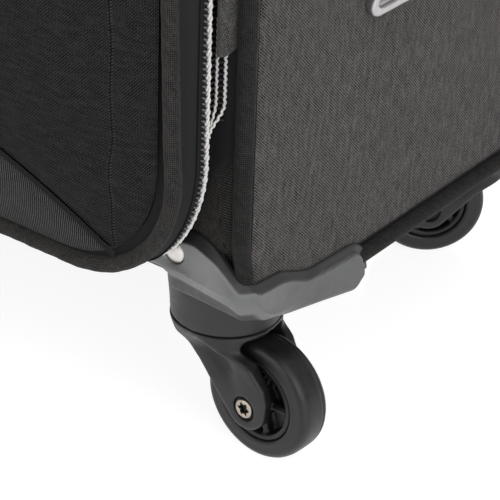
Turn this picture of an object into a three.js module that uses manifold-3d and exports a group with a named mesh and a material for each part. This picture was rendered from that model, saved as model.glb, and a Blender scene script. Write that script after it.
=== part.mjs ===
// A softside spinner suitcase: board-and-fabric panels round an open compartment, a hinged front lid,
// four moulded corner housings with swivel casters, a telescopic trolley handle and two carry handles.
// Millimetres, +Z up, +X to the right, the lid on the -Y side. The floor is z = 0.
import * as THREE from "three";
import { mergeVertices } from "three/addons/utils/BufferGeometryUtils.js";
import { ConvexGeometry } from "three/addons/geometries/ConvexGeometry.js";
import Module from "manifold-3d";

const wasm = await Module();
wasm.setup();

// ---- driving dimensions ----
const GAP = 0.3; // air between pieces that would touch
const BODY_WIDTH = 430;
const BODY_DEPTH = 253;
const BODY_BOTTOM = 72;
const BODY_TOP = 632;
const HALF_WIDTH = BODY_WIDTH / 2;
const CENTRE_OFFSET_X = 4; // the side handle makes the whole box lopsided by this much
const CENTRE_OFFSET_Y = 110;

const PANEL = 5; // board, foam and fabric
const BODY_BOTTOM_RADIUS = 20;
const BODY_TOP_RADIUS = 60;
const BORDER = 2.5; // thickness of the front border and of the back panel
const PIPING_RADIUS = 3.5;
const PIPING_INSET = 2;
const PLATE_INSET = 6.2; // front border and back panel end inside the piping
const PIPING_END = 99.5; // the piping dips into the corner housings here

const ZIP_BOTTOM_RADIUS = 79.8; // corner radius of the zip path before its inset is taken off
const ZIP_INSET = [12.3, 17.3]; // outer and inner edge of the main zip, from the side of the case
const ZIP_THICKNESS = 1.3;
const FRAME_INSET = [15.5, 22];
const FRAME_FRONT = -5.2;
const FRAME_BACK = -2.3;
const EXPANSION_INSET = [8.9, 14.5];
const EXPANSION_BOTTOM = 152;

const LID_INSET = 12; // centre of the lid piping, from the side of the case
const LID_BOTTOM = 98.8; // centre of the lid piping at the bottom
const LID_PIPING_Y = -27;
const LID_PIPING_RADIUS = 3.7;
const LID_RADIUS = 46;
const LID_FRONT = -29.5;
const LID_BACK = -25.5;
const POCKET_FRONT = -33;
const POCKET_SIDE = 178; // half the width of the front panel's lower edge
const POCKET_RISE = 43; // how far the arched lower seam of the pocket rises in the middle
const POCKET_ZIP_HEIGHT = 560;

const SWIVEL = 34.3; // swivel axis from both faces of its corner
const TRAIL = 22.2;
const WHEEL_RADIUS = 25;
const WHEEL_WIDTH = 15.8;
const WHEEL_SIDES = 32;
const RIM_RADIUS = 17;
const SEAM_HEIGHT = 54.5; // joint line between the housing's boss and the fork
const CROWN_RADIUS = 21.4;
const AXLE_RADIUS = 3;
const ARM = [9, 14.6]; // inner and outer face of a fork arm, from the wheel's middle
const CASTERS = [
  { name: "front_right", side: 1, back: false, trail: -3.5 },
  { name: "front_left", side: -1, back: false, trail: 183.5 },
  { name: "back_right", side: 1, back: true, trail: -143.4 },
  { name: "back_left", side: -1, back: true, trail: -36.6 },
];

const TUBE_X = 100; // trolley tubes, from the middle
const TUBE_Y = 234;
const OUTER_TUBE = [25, 14];
const INNER_TUBE = [21.4, 10.4];
const TUBE_WALL = 1.5;
const TUBE_BOTTOM = 82;
const BEZEL_TOP = 636.5;
const GRIP_TOP = 670;
const GRIP_HALF = 118;
const GRIP_DEPTH = 22;

const SIDE_HANDLE = { half: 135, width: 46, y: 86, z: 311.5 };
const TOP_HANDLE = { half: 118, width: 40, y: 112 };
const HANDLE_RISE = 21.7;

// ---- colours ----
const heather = { color: 0x4a4547, roughness: 0.95, metalness: 0 };
const heatherDark = { color: 0x353338, roughness: 0.95, metalness: 0 };
const lining = { color: 0x1d1d1f, roughness: 0.8, metalness: 0 };
const moulded = { color: 0x6f6e73, roughness: 0.55, metalness: 0 };
const mouldedDark = { color: 0x3b3a3f, roughness: 0.5, metalness: 0 };
const tyreRubber = { color: 0x38383c, roughness: 0.45, metalness: 0 };
const silver = { color: 0xc9c5bf, roughness: 0.3, metalness: 0.9 };
const steel = { color: 0x9a938a, roughness: 0.35, metalness: 0.9 };
const anodised = { color: 0x8b8c90, roughness: 0.35, metalness: 0.8 };

// ---- helpers ----
const rad = THREE.MathUtils.degToRad;

function toSolid(geometry) {
  const bare = geometry.clone();
  bare.deleteAttribute("normal");
  bare.deleteAttribute("uv");
  const merged = mergeVertices(bare, 1e-4);
  const vertProperties = merged.attributes.position.array;
  const triVerts = new Uint32Array(merged.index.array);
  return new wasm.Manifold(new wasm.Mesh({ numProp: 3, vertProperties, triVerts }));
}

function toGeometry(solid) {
  const { vertProperties, triVerts } = solid.getMesh();
  const position = new THREE.BufferAttribute(new Float32Array(vertProperties), 3);
  const index = new THREE.BufferAttribute(new Uint32Array(triVerts), 1);
  return new THREE.BufferGeometry().setAttribute("position", position).setIndex(index);
}

const join = (first, ...rest) =>
  toGeometry(rest.reduce((sum, g) => sum.add(toSolid(g)), toSolid(first)));
const cut = (first, ...rest) =>
  toGeometry(rest.reduce((sum, g) => sum.subtract(toSolid(g)), toSolid(first)));

const group = new THREE.Group();
group.position.set(-CENTRE_OFFSET_X, -CENTRE_OFFSET_Y, 0);

function add(name, geometry, finish, parent = group) {
  const mesh = new THREE.Mesh(geometry, new THREE.MeshStandardMaterial(finish));
  mesh.name = name;
  parent.add(mesh);
  return mesh;
}

function box(x, y, z) {
  const size = [x, y, z].map(([low, high]) => high - low);
  const middle = [x, y, z].map(([low, high]) => (low + high) / 2);
  return new THREE.BoxGeometry(...size).translate(...middle);
}

// A rounded rectangle in the XZ plane, with its own radius for the bottom and the top corners.
function outline(halfWidth, bottom, top, bottomRadius, topRadius, path = new THREE.Shape()) {
  path.moveTo(-halfWidth + bottomRadius, bottom);
  path.absarc(halfWidth - bottomRadius, bottom + bottomRadius, bottomRadius, -Math.PI / 2, 0);
  path.absarc(halfWidth - topRadius, top - topRadius, topRadius, 0, Math.PI / 2);
  path.absarc(-halfWidth + topRadius, top - topRadius, topRadius, Math.PI / 2, Math.PI);
  path.absarc(-halfWidth + bottomRadius, bottom + bottomRadius, bottomRadius, Math.PI, 1.5 * Math.PI);
  path.closePath();
  return path;
}

const bodyOutline = (inset, path) =>
  outline(HALF_WIDTH - inset, BODY_BOTTOM + inset, BODY_TOP - inset,
    BODY_BOTTOM_RADIUS - inset, BODY_TOP_RADIUS - inset, path);
const zipOutline = (inset, path) =>
  outline(HALF_WIDTH - inset, BODY_BOTTOM + inset, BODY_TOP - inset,
    ZIP_BOTTOM_RADIUS - inset, BODY_TOP_RADIUS - inset, path);
const lidOutline = (inset, path) =>
  outline(HALF_WIDTH - LID_INSET - inset, LID_BOTTOM + inset, BODY_TOP - LID_INSET - inset,
    LID_RADIUS - inset, LID_RADIUS - inset, path);

// A plate between two Y planes, cut from a shape drawn in the XZ plane.
function slab(shape, front, back, curveSegments = 5) {
  const options = { depth: back - front, bevelEnabled: false, curveSegments };
  return new THREE.ExtrudeGeometry(shape, options).rotateX(Math.PI / 2).translate(0, back, 0);
}

function ring(outer, inner, front, back) {
  outer.holes.push(inner);
  return slab(outer, front, back);
}

const hole = () => new THREE.Path();

// A path whose steps fall exactly on the given points.
class PointPath extends THREE.Curve {
  constructor(points) {
    super();
    this.points = points;
  }
  getPoint(t, target = new THREE.Vector3()) {
    const last = this.points.length - 1;
    const place = THREE.MathUtils.clamp(t, 0, 1) * last;
    const first = Math.min(Math.floor(place), last - 1);
    return target.lerpVectors(this.points[first], this.points[first + 1], place - first);
  }
  getPointAt(t, target) {
    return this.getPoint(t, target);
  }
  getTangentAt(t, target) {
    return this.getTangent(t, target);
  }
}

function tube(points, radius, sides = 8) {
  const section = new THREE.Shape(
    Array.from({ length: sides }, (_, i) => {
      const angle = ((i + 0.5) / sides) * 2 * Math.PI;
      return new THREE.Vector2(radius * Math.cos(angle), radius * Math.sin(angle));
    }),
  );
  const extrudePath = new PointPath(points);
  return new THREE.ExtrudeGeometry(section, { steps: points.length - 1, extrudePath });
}

function arcPoints(cx, cz, radius, from, to, y, steps = 5) {
  return Array.from({ length: steps + 1 }, (_, i) => {
    const angle = rad(from + ((to - from) * i) / steps);
    return new THREE.Vector3(cx + radius * Math.cos(angle), y, cz + radius * Math.sin(angle));
  });
}

// ---- panels ----
const SIDE_FRONT = BORDER + GAP;
const SIDE_BACK = BODY_DEPTH - BORDER - GAP;
const UPPER_SPLIT = BODY_TOP - BODY_TOP_RADIUS;
const LOWER_SPLIT = BODY_BOTTOM + BODY_BOTTOM_RADIUS;

// The part of the case's wall between two heights, as one bent strip.
function wallStrip(low, high) {
  const wall = ring(bodyOutline(0), bodyOutline(PANEL, hole()), SIDE_FRONT, SIDE_BACK);
  const keep = box([-HALF_WIDTH - 1, HALF_WIDTH + 1], [0, BODY_DEPTH], [low, high]);
  return toGeometry(toSolid(wall).intersect(toSolid(keep)));
}

const tubeSlot = (side) =>
  box([side * TUBE_X - 13, side * TUBE_X + 13], [TUBE_Y - 7.5, TUBE_Y + 7.5], [600, 660]);

function addPanels() {
  const plate = slab(bodyOutline(PLATE_INSET), 0, BORDER);
  plate.translate(0, BODY_DEPTH - BORDER, 0);
  add("back_panel", plate, heather);
  for (const side of [1, -1]) {
    const inner = side * (HALF_WIDTH - PANEL);
    const outer = side * HALF_WIDTH;
    const x = [Math.min(inner, outer), Math.max(inner, outer)];
    const z = [LOWER_SPLIT + GAP, UPPER_SPLIT - GAP];
    add(side > 0 ? "right_panel" : "left_panel", box(x, [SIDE_FRONT, SIDE_BACK], z), heather);
  }
  const top = wallStrip(UPPER_SPLIT, BODY_TOP + 1);
  add("top_panel", cut(top, tubeSlot(1), tubeSlot(-1)), heather);
  add("bottom_panel", wallStrip(BODY_BOTTOM - 1, LOWER_SPLIT), heatherDark);
  const border = bodyOutline(PLATE_INSET);
  add("front_border", ring(border, zipOutline(FRAME_INSET[1], hole()), 0, BORDER), heatherDark);
}

// Fabric-covered cord round the front and the back edge, from one housing over the top to the other.
function pipingArch(y) {
  const x = HALF_WIDTH - PIPING_INSET;
  const radius = BODY_TOP_RADIUS - PIPING_INSET;
  const cx = HALF_WIDTH - BODY_TOP_RADIUS;
  const points = [
    new THREE.Vector3(x, y, PIPING_END),
    ...arcPoints(cx, UPPER_SPLIT, radius, 0, 90, y),
    ...arcPoints(-cx, UPPER_SPLIT, radius, 90, 180, y),
    new THREE.Vector3(-x, y, PIPING_END),
  ];
  return tube(points, PIPING_RADIUS);
}

// ---- zips ----
function addZips() {
  const [outer, inner] = ZIP_INSET;
  const base = FRAME_FRONT - GAP;
  const zip = () => [zipOutline(outer), zipOutline(inner, hole())];
  add("main_zip_base", ring(...zip(), base - ZIP_THICKNESS, base), silver);
  const lidZip = base - ZIP_THICKNESS - GAP;
  add("main_zip_lid", ring(...zip(), lidZip - ZIP_THICKNESS, lidZip), silver);
  const frame = [zipOutline(FRAME_INSET[0]), zipOutline(FRAME_INSET[1], hole())];
  add("expansion_frame", ring(...frame, FRAME_FRONT, FRAME_BACK), lining);
  const expansion = [zipOutline(EXPANSION_INSET[0]), zipOutline(EXPANSION_INSET[1], hole())];
  const low = box([-HALF_WIDTH, HALF_WIDTH], [-9, 9], [0, EXPANSION_BOTTOM]);
  add("expansion_zip", cut(ring(...expansion, FRAME_BACK + GAP, -GAP), low), silver);
}

const SLIDER_LENGTH = 14;
const PULLER_LENGTH = 30;
const SLIDER_X = [HALF_WIDTH - 12, HALF_WIDTH - 8];
const SLIDER_Y = [-11.5, -5.5];

// Two sliders that meet on the right side, each with a flat puller that hangs from it.
function addSliders() {
  const bridge = SLIDER_X[1];
  [["a", 400], ["b", 436]].forEach(([letter, z]) => {
    const length = [z - SLIDER_LENGTH / 2, z + SLIDER_LENGTH / 2];
    add("main_slider_" + letter, box(SLIDER_X, SLIDER_Y, length), steel);
    const plate = [bridge + 0.8, bridge + 2.4];
    const hang = [z - PULLER_LENGTH, z + 0.7];
    add("main_puller_" + letter, box(plate, [-10.6, -6.2], hang), steel);
  });
  const slot = [HALF_WIDTH - 14, HALF_WIDTH - 8.4];
  add("expansion_slider", box(slot, [FRAME_FRONT + 0.1, FRAME_BACK - 0.1], [196, 208]), steel);
  const pocket = POCKET_FRONT - GAP;
  const z = [POCKET_ZIP_HEIGHT - 4, POCKET_ZIP_HEIGHT + 4];
  add("pocket_slider", box([126, 138], [pocket - 3, pocket], z), steel);
  const hang = [POCKET_ZIP_HEIGHT - PULLER_LENGTH, POCKET_ZIP_HEIGHT + 0.7];
  add("pocket_puller", box([129, 135], [pocket - 5, pocket - 3 - GAP], hang), steel);
}

// ---- lid ----
function addLid() {
  const x = HALF_WIDTH - LID_INSET;
  const cx = x - LID_RADIUS;
  const low = LID_BOTTOM + LID_RADIUS;
  const high = BODY_TOP - LID_INSET - LID_RADIUS;
  const y = LID_PIPING_Y;
  const loop = [
    new THREE.Vector3(GAP, y, LID_BOTTOM),
    ...arcPoints(cx, low, LID_RADIUS, -90, 0, y),
    ...arcPoints(cx, high, LID_RADIUS, 0, 90, y),
    ...arcPoints(-cx, high, LID_RADIUS, 90, 180, y),
    ...arcPoints(-cx, low, LID_RADIUS, 180, 270, y),
    new THREE.Vector3(-GAP, y, LID_BOTTOM),
  ];
  add("lid_piping", tube(loop, LID_PIPING_RADIUS), heather);
  add("lid_panel", slab(lidOutline(LID_PIPING_RADIUS + GAP), LID_FRONT, LID_BACK), heatherDark);
  const gusset = [lidOutline(0.6), lidOutline(3.4, hole())];
  const front = LID_PIPING_Y + LID_PIPING_RADIUS + GAP;
  const back = FRAME_FRONT - 3 * GAP - 2 * ZIP_THICKNESS;
  add("lid_gusset", ring(...gusset, front, back), lining);
  add("front_pocket", slab(pocketShape(), POCKET_FRONT, LID_FRONT - GAP), heatherDark);
}

// The pocket covers the lid above an arched seam that runs from one lower corner to the other.
function pocketShape() {
  const side = HALF_WIDTH - LID_INSET - LID_PIPING_RADIUS - 3;
  const top = BODY_TOP - LID_INSET - LID_PIPING_RADIUS - 3;
  const radius = LID_RADIUS - LID_PIPING_RADIUS - 3;
  const seam = 111;
  const arch = (POCKET_SIDE ** 2 + POCKET_RISE ** 2) / (2 * POCKET_RISE);
  const half = Math.asin(POCKET_SIDE / arch);
  const shape = new THREE.Shape();
  shape.moveTo(POCKET_SIDE, seam);
  shape.lineTo(side, seam + 28);
  shape.absarc(side - radius, top - radius, radius, 0, Math.PI / 2);
  shape.absarc(-side + radius, top - radius, radius, Math.PI / 2, Math.PI);
  shape.lineTo(-side, seam + 28);
  shape.lineTo(-POCKET_SIDE, seam);
  const up = Math.PI / 2;
  shape.absarc(0, seam + POCKET_RISE - arch, arch, up + half, up - half, true);
  return shape;
}

// ---- corner housings: drawn at the front right corner, whose edge is x = y = 0 ----
const OUTER = 5; // how far the moulding stands off the fabric
const wingShape = (points) => new THREE.Shape(points.map(([a, b]) => new THREE.Vector2(a, b)));

function frontWing() {
  const ear = [
    [OUTER, 86], [OUTER, 93], [-1, 94.5], [-7, 100], [-15, 106], [-21, 108.3], [-26, 108],
    [-31, 104], [-38, 98], [-46, 91], [-46, 86],
  ];
  return slab(wingShape(ear), -OUTER, -GAP);
}

function sideWing() {
  const pad = [
    [-OUTER, 86], [2, 82.5], [15, 75], [40, 69], [64, 63.2], [68.5, 65.2], [70.6, 73], [70, 77],
    [66, 80.6], [50, 82], [36, 83], [26, 88], [18, 90.5], [5, 92], [-1, 94], [-OUTER, 93],
  ];
  // A slab is drawn in XZ, so the outline is turned a quarter turn to lie in YZ.
  return slab(wingShape(pad), -OUTER, -GAP).rotateZ(Math.PI / 2);
}

function circlePoints(radius, z, count = 16) {
  return Array.from({ length: count }, (_, i) => {
    const angle = (i / count) * 2 * Math.PI;
    const x = -SWIVEL + radius * Math.cos(angle);
    return new THREE.Vector3(x, SWIVEL + radius * Math.sin(angle), z);
  });
}

function housing() {
  const rim = [
    [-44, -OUTER, 90], [2, -OUTER, 88], [OUTER, -2, 87], [OUTER, 15, 75], [OUTER, 40, 69],
    [OUTER, 60, 65], [0, 64, 70], [-62, 50, 71], [-64, 12, 71], [-50, -OUTER, 74],
  ].map((p) => new THREE.Vector3(...p));
  const core = new ConvexGeometry([
    ...circlePoints(21.6, SEAM_HEIGHT),
    ...circlePoints(25, 60),
    ...rim,
  ]);
  const inside = box([-90, GAP], [-GAP, 90], [BODY_BOTTOM - GAP, 140]);
  const pinHole = new THREE.CylinderGeometry(4.6, 4.6, 30, 10).rotateX(Math.PI / 2);
  pinHole.translate(-SWIVEL, SWIVEL, 60);
  return cut(join(core, frontWing(), sideWing()), inside, pinHole);
}

// ---- casters: drawn with the swivel axis at the origin and the wheel trailing along +X ----
function arcAbout(cx, cz, radius, from, to, steps) {
  return Array.from({ length: steps + 1 }, (_, i) => {
    const angle = rad(from + ((to - from) * i) / steps);
    return new THREE.Vector2(cx + radius * Math.cos(angle), cz + radius * Math.sin(angle));
  });
}

// A disc lying on the wheel's axle, between two distances from the wheel's middle.
function axleDisc(radius, from, to, sides) {
  const disc = new THREE.CylinderGeometry(radius, radius, to - from, sides);
  return disc.translate(TRAIL, (from + to) / 2, WHEEL_RADIUS);
}

function fork() {
  const top = SEAM_HEIGHT - GAP;
  const crown = new THREE.CylinderGeometry(CROWN_RADIUS, CROWN_RADIUS - 2, 14, 20);
  crown.rotateX(Math.PI / 2).translate(0, 0, top - 7);
  const arm = new THREE.Shape([
    new THREE.Vector2(-13, 47),
    ...arcAbout(TRAIL + 0.5, WHEEL_RADIUS + 1.5, 10.5, 222, 372, 8),
    new THREE.Vector2(25, 48),
    new THREE.Vector2(19, top - 1),
    new THREE.Vector2(-13, top - 1),
  ]);
  const arms = slab(arm, -ARM[1], ARM[1]);
  const room = axleDisc(WHEEL_RADIUS + 1.6, -ARM[0], ARM[0], 20);
  const below = box([-30, 60], [-ARM[0], ARM[0]], [0, WHEEL_RADIUS]);
  const pinHole = new THREE.CylinderGeometry(4.4, 4.4, 12, 10).rotateX(Math.PI / 2);
  pinHole.translate(0, 0, top - 4);
  const axleHole = axleDisc(AXLE_RADIUS + 0.5, -20, 20, 10);
  const recess = axleDisc(5.6, -20, -13.2, 12);
  return cut(join(crown, arms), room, below, pinHole, axleHole, recess);
}

// A ring turned about the wheel's axle from a profile of [radius, distance along the axle].
function turned(profile, sides) {
  const points = [...profile, profile[0]].map(([r, y]) => new THREE.Vector2(r, y));
  const shape = new THREE.LatheGeometry(points, sides);
  return shape.rotateY(Math.PI / sides).translate(TRAIL, 0, WHEEL_RADIUS);
}

function addCaster({ name, side, back, trail }) {
  const caster = new THREE.Group();
  caster.position.x = side * (HALF_WIDTH - SWIVEL);
  caster.position.y = back ? BODY_DEPTH - SWIVEL : SWIVEL;
  caster.rotation.z = rad(trail);
  group.add(caster);
  const half = WHEEL_WIDTH / 2;
  const crown = WHEEL_RADIUS / Math.cos(Math.PI / WHEEL_SIDES);
  const tyre = turned([
    [RIM_RADIUS, -half + 0.6], [WHEEL_RADIUS - 2.5, -half], [crown, -half + 3.6],
    [crown, half - 3.6], [WHEEL_RADIUS - 2.5, half], [RIM_RADIUS, half - 0.6],
  ], WHEEL_SIDES);
  add("tyre_" + name, tyre, tyreRubber, caster);
  const rim = RIM_RADIUS - GAP;
  const hub = turned([
    [AXLE_RADIUS + 0.3, -half + 1], [6.5, -half + 1], [6.5, -2], [rim, -2],
    [rim, 2], [6.5, 2], [6.5, half - 1], [AXLE_RADIUS + 0.3, half - 1],
  ], 16);
  add("hub_" + name, hub, mouldedDark, caster);
  add("fork_" + name, fork(), mouldedDark, caster);
  const shaft = axleDisc(AXLE_RADIUS, -13.6, 14.2, 10);
  const head = axleDisc(4.9, -14.5, -13.5, 12);
  const flange = cut(head, axleDisc(2, -15, -14, 6));
  add("axle_screw_" + name, join(flange, shaft), steel, caster);
  const pin = new THREE.CylinderGeometry(4, 4, 24, 10).rotateX(Math.PI / 2);
  add("swivel_pin_" + name, pin.translate(0, 0, SEAM_HEIGHT + 4), steel, caster);
}

function addHousing({ name, side, back }) {
  const corner = new THREE.Group();
  corner.position.set(side * HALF_WIDTH, back ? BODY_DEPTH : 0, 0);
  corner.scale.set(side, back ? -1 : 1, 1);
  group.add(corner);
  add("corner_housing_" + name, housing(), moulded, corner);
}

// ---- trolley ----
function roundedPlate(width, depth, radius, path = new THREE.Shape()) {
  return outline(width / 2, -depth / 2, depth / 2, radius, radius, path);
}

// A vertical bar whose section is drawn in the plan, open at both ends when it is hollow.
function upright(section, low, high, x, y) {
  const options = { depth: high - low, bevelEnabled: false, curveSegments: 3 };
  return new THREE.ExtrudeGeometry(section, options).translate(x, y, low);
}

function addTrolley() {
  const bezel = upright(roundedPlate(258, 30, 8), BODY_TOP + GAP, BEZEL_TOP, 0, TUBE_Y);
  add("trolley_bezel", cut(bezel, tubeSlot(1), tubeSlot(-1)), mouldedDark);
  const [width, depth] = OUTER_TUBE;
  for (const side of [1, -1]) {
    const suffix = side > 0 ? "right" : "left";
    const section = roundedPlate(width, depth, 4);
    section.holes.push(roundedPlate(width - 2 * TUBE_WALL, depth - 2 * TUBE_WALL, 2.5, hole()));
    const outer = upright(section, TUBE_BOTTOM, BEZEL_TOP - 0.5, side * TUBE_X, TUBE_Y);
    add("trolley_outer_tube_" + suffix, outer, anodised);
    const inner = upright(roundedPlate(...INNER_TUBE, 2), 96, BEZEL_TOP + 0.4, side * TUBE_X, TUBE_Y);
    add("trolley_inner_tube_" + suffix, inner, anodised);
  }
  const low = BEZEL_TOP + 0.4 + GAP;
  const shape = outline(GRIP_HALF, low, GRIP_TOP, 3, 12);
  const fingers = outline(GRIP_HALF - 36, low - 20, GRIP_TOP - 15, 3, 8);
  const [front, back] = [TUBE_Y - GRIP_DEPTH / 2, TUBE_Y + GRIP_DEPTH / 2];
  const well = box([-17.4, 17.4], [TUBE_Y - 6.4, TUBE_Y + 6.4], [GRIP_TOP - 7, GRIP_TOP + 9]);
  const grip = cut(slab(shape, front, back), slab(fingers, front - 1, back + 1), well);
  add("trolley_grip", grip, mouldedDark);
  const button = box([-17, 17], [TUBE_Y - 6, TUBE_Y + 6], [GRIP_TOP - 3.6, GRIP_TOP + 1]);
  add("trolley_button", button, moulded);
}

// ---- carry handles: drawn along X, standing up from z = 0 ----
const ANCHOR_LENGTH = 40;
const ANCHOR_HEIGHT = 14;

function handleStrap(half, width) {
  const end = half - 14;
  const shape = outline(end, 3, HANDLE_RISE, 2, 10);
  const below = outline(end - 7, -20, HANDLE_RISE - 7, 0.6, 0.6);
  const front = -width / 2 + 5;
  return cut(slab(shape, front, -front), slab(below, front - 1, 1 - front));
}

function handleAnchor(half, width, side) {
  const x = [half - ANCHOR_LENGTH, half].map((d) => side * d).sort((a, b) => a - b);
  const shape = new THREE.Shape();
  shape.moveTo(x[0], GAP);
  shape.lineTo(x[1], GAP);
  shape.lineTo(x[1] - (side > 0 ? 6 : 2), ANCHOR_HEIGHT);
  shape.lineTo(x[0] + (side > 0 ? 2 : 6), ANCHOR_HEIGHT);
  const end = side * (half - 14);
  const slot = [end - side * 7.4, end + side * 0.4].sort((a, b) => a - b);
  const block = slab(shape, -width / 2, width / 2);
  return cut(block, box(slot, [-width / 2 + 4.6, width / 2 - 4.6], [2, 30]));
}

function addHandle(name, { half, width }, ends, place) {
  const handle = new THREE.Group();
  place(handle);
  group.add(handle);
  add(name, handleStrap(half, width), heatherDark, handle);
  ends.forEach(([suffix, side]) => {
    add(name + "_anchor_" + suffix, handleAnchor(half, width, side), silver, handle);
  });
}

addPanels();
add("front_piping", pipingArch(-1), heather);
add("back_piping", pipingArch(BODY_DEPTH + 1), heather);
addZips();
addSliders();
addLid();
CASTERS.forEach(addHousing);
CASTERS.forEach(addCaster);
addTrolley();
addHandle("top_handle", TOP_HANDLE, [["right", 1], ["left", -1]], (handle) => {
  handle.position.set(0, TOP_HANDLE.y, BODY_TOP);
});
addHandle("side_handle", SIDE_HANDLE, [["lower", 1], ["upper", -1]], (handle) => {
  handle.position.set(HALF_WIDTH, SIDE_HANDLE.y, SIDE_HANDLE.z);
  handle.rotation.y = Math.PI / 2;
});

export default group;
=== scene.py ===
"""Looks for a softside spinner suitcase: woven panels, corded seams, zips, moulded corner housings
with swivel casters, carry handles and a trolley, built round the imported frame.

Sizes in this file are millimetres in the case's own frame: X from the middle of the case (+X right),
y back from its front plane, z up from the floor. row() turns them into the frame's metres.
"""

import math

import bmesh
import bpy
import numpy as np
import openvdb
from mathutils import Matrix, Vector


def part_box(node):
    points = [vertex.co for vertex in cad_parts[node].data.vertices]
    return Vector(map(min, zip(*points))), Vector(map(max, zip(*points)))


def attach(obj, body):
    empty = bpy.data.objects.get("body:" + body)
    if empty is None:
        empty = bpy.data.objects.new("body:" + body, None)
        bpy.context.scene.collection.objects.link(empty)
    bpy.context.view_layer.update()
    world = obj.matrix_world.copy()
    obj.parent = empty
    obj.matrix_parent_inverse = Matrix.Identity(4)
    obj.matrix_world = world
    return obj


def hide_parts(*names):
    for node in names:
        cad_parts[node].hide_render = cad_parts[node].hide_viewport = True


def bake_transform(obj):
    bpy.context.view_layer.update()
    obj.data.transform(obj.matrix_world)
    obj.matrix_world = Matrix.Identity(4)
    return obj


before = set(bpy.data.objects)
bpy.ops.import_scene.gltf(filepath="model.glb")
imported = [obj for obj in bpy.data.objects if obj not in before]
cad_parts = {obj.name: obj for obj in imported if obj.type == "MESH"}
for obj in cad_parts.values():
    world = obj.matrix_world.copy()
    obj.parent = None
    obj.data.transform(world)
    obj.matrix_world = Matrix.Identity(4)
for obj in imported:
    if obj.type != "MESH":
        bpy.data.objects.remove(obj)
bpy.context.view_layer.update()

# ---- sizes, as in the CAD part ----
HALF, DEPTH, BOTTOM, TOP = 215.0, 253.0, 72.0, 632.0
TOP_RADIUS = 60.0
ORIGIN = np.array([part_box("right_panel")[1].x - HALF / 1000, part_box("front_border")[0].y, 0.0])
SWIVEL, TRAIL, SEAM_Z = 34.3, 22.2, 54.5
WHEEL_R, WHEEL_W = 25.0, 15.8
CASTERS = {  # side, back, trailing angle
    "front_right": (1, False, -3.5),
    "front_left": (-1, False, 183.5),
    "back_right": (1, True, -143.4),
    "back_left": (-1, True, -36.6),
}
TUBE_X, TUBE_Y = 100.0, 234.0
PITCH = 2.2  # one zip tooth


def row(points):
    return np.asarray(points, float) / 1000 + ORIGIN


# ---- node helpers ----
class Finish:
    """One procedural material, built with short calls that return sockets."""

    def __init__(self, name, roughness=0.6, **sockets):
        self.material = bpy.data.materials.new(name)
        self.material.use_nodes = True
        self.tree = self.material.node_tree
        self.shader = self.tree.nodes["Principled BSDF"]
        self.put(self.shader, {"Roughness": roughness})
        self.put(self.shader, {k.replace("_", " "): v for k, v in sockets.items()})

    def put(self, node, inputs):
        for key, value in inputs.items():
            if isinstance(value, bpy.types.NodeSocket):
                self.tree.links.new(value, node.inputs[key])
            else:
                node.inputs[key].default_value = value
        return node

    def add(self, kind, inputs, out=0, **settings):
        node = self.tree.nodes.new(kind)
        for key, value in settings.items():
            setattr(node, key, value)
        return self.put(node, inputs).outputs[out]

    def math(self, operation, *values):
        return self.add("ShaderNodeMath", dict(enumerate(values)), operation=operation)

    def place(self):
        """Millimetres in the piece's own space."""
        place = self.add("ShaderNodeTexCoord", {}, "Object")
        return self.add("ShaderNodeVectorMath", {0: place, "Scale": 1000.0}, operation="SCALE")

    def weave(self):
        return self.add("ShaderNodeAttribute", {}, "Vector", attribute_name="weave")

    # The tone attribute holds painted shade on the housings and forks.
    def tone(self, name="tone"):
        return self.add("ShaderNodeAttribute", {}, "Fac", attribute_name=name)

    def noise(self, vector, scale, detail=2.0, rough=0.5, stretch=None):
        if stretch:
            vector = self.add("ShaderNodeVectorMath", {0: vector, 1: stretch}, operation="MULTIPLY")
        return self.add("ShaderNodeTexNoise", {
            "Vector": vector, "Scale": scale, "Detail": detail, "Roughness": rough})

    def ramp(self, value, stops):
        node = self.tree.nodes.new("ShaderNodeValToRGB")
        marks = node.color_ramp.elements
        while len(marks) < len(stops):
            marks.new(0.5)
        for mark, (place, colour) in zip(marks, stops):
            mark.position = place
            mark.color = (*(colour if hasattr(colour, "__len__") else (colour,) * 3), 1)
        return self.put(node, {"Fac": value}).outputs[0]

    def mix(self, factor, a, b):
        node = self.tree.nodes.new("ShaderNodeMix")
        node.data_type = "RGBA"
        paint = lambda c: c if isinstance(c, bpy.types.NodeSocket) else (*c, 1)
        return self.put(node, {0: factor, 6: paint(a), 7: paint(b)}).outputs[2]

    def range(self, value, low, high, to_low, to_high):
        return self.add("ShaderNodeMapRange", {
            "Value": value, "From Min": low, "From Max": high, "To Min": to_low, "To Max": to_high})

    def finish(self, colour, height=None, strength=0.3, distance=0.0003, roughness=None):
        self.put(self.shader, {"Base Color": colour})
        if roughness is not None:
            self.put(self.shader, {"Roughness": roughness})
        if height is not None:
            bump = self.add("ShaderNodeBump", {
                "Height": height, "Strength": strength, "Distance": distance})
            self.put(self.shader, {"Normal": bump})
        return self.material


def grey(value, warm=0.0):
    return (value * (1 + warm), value, value * (1 - warm))


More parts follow.
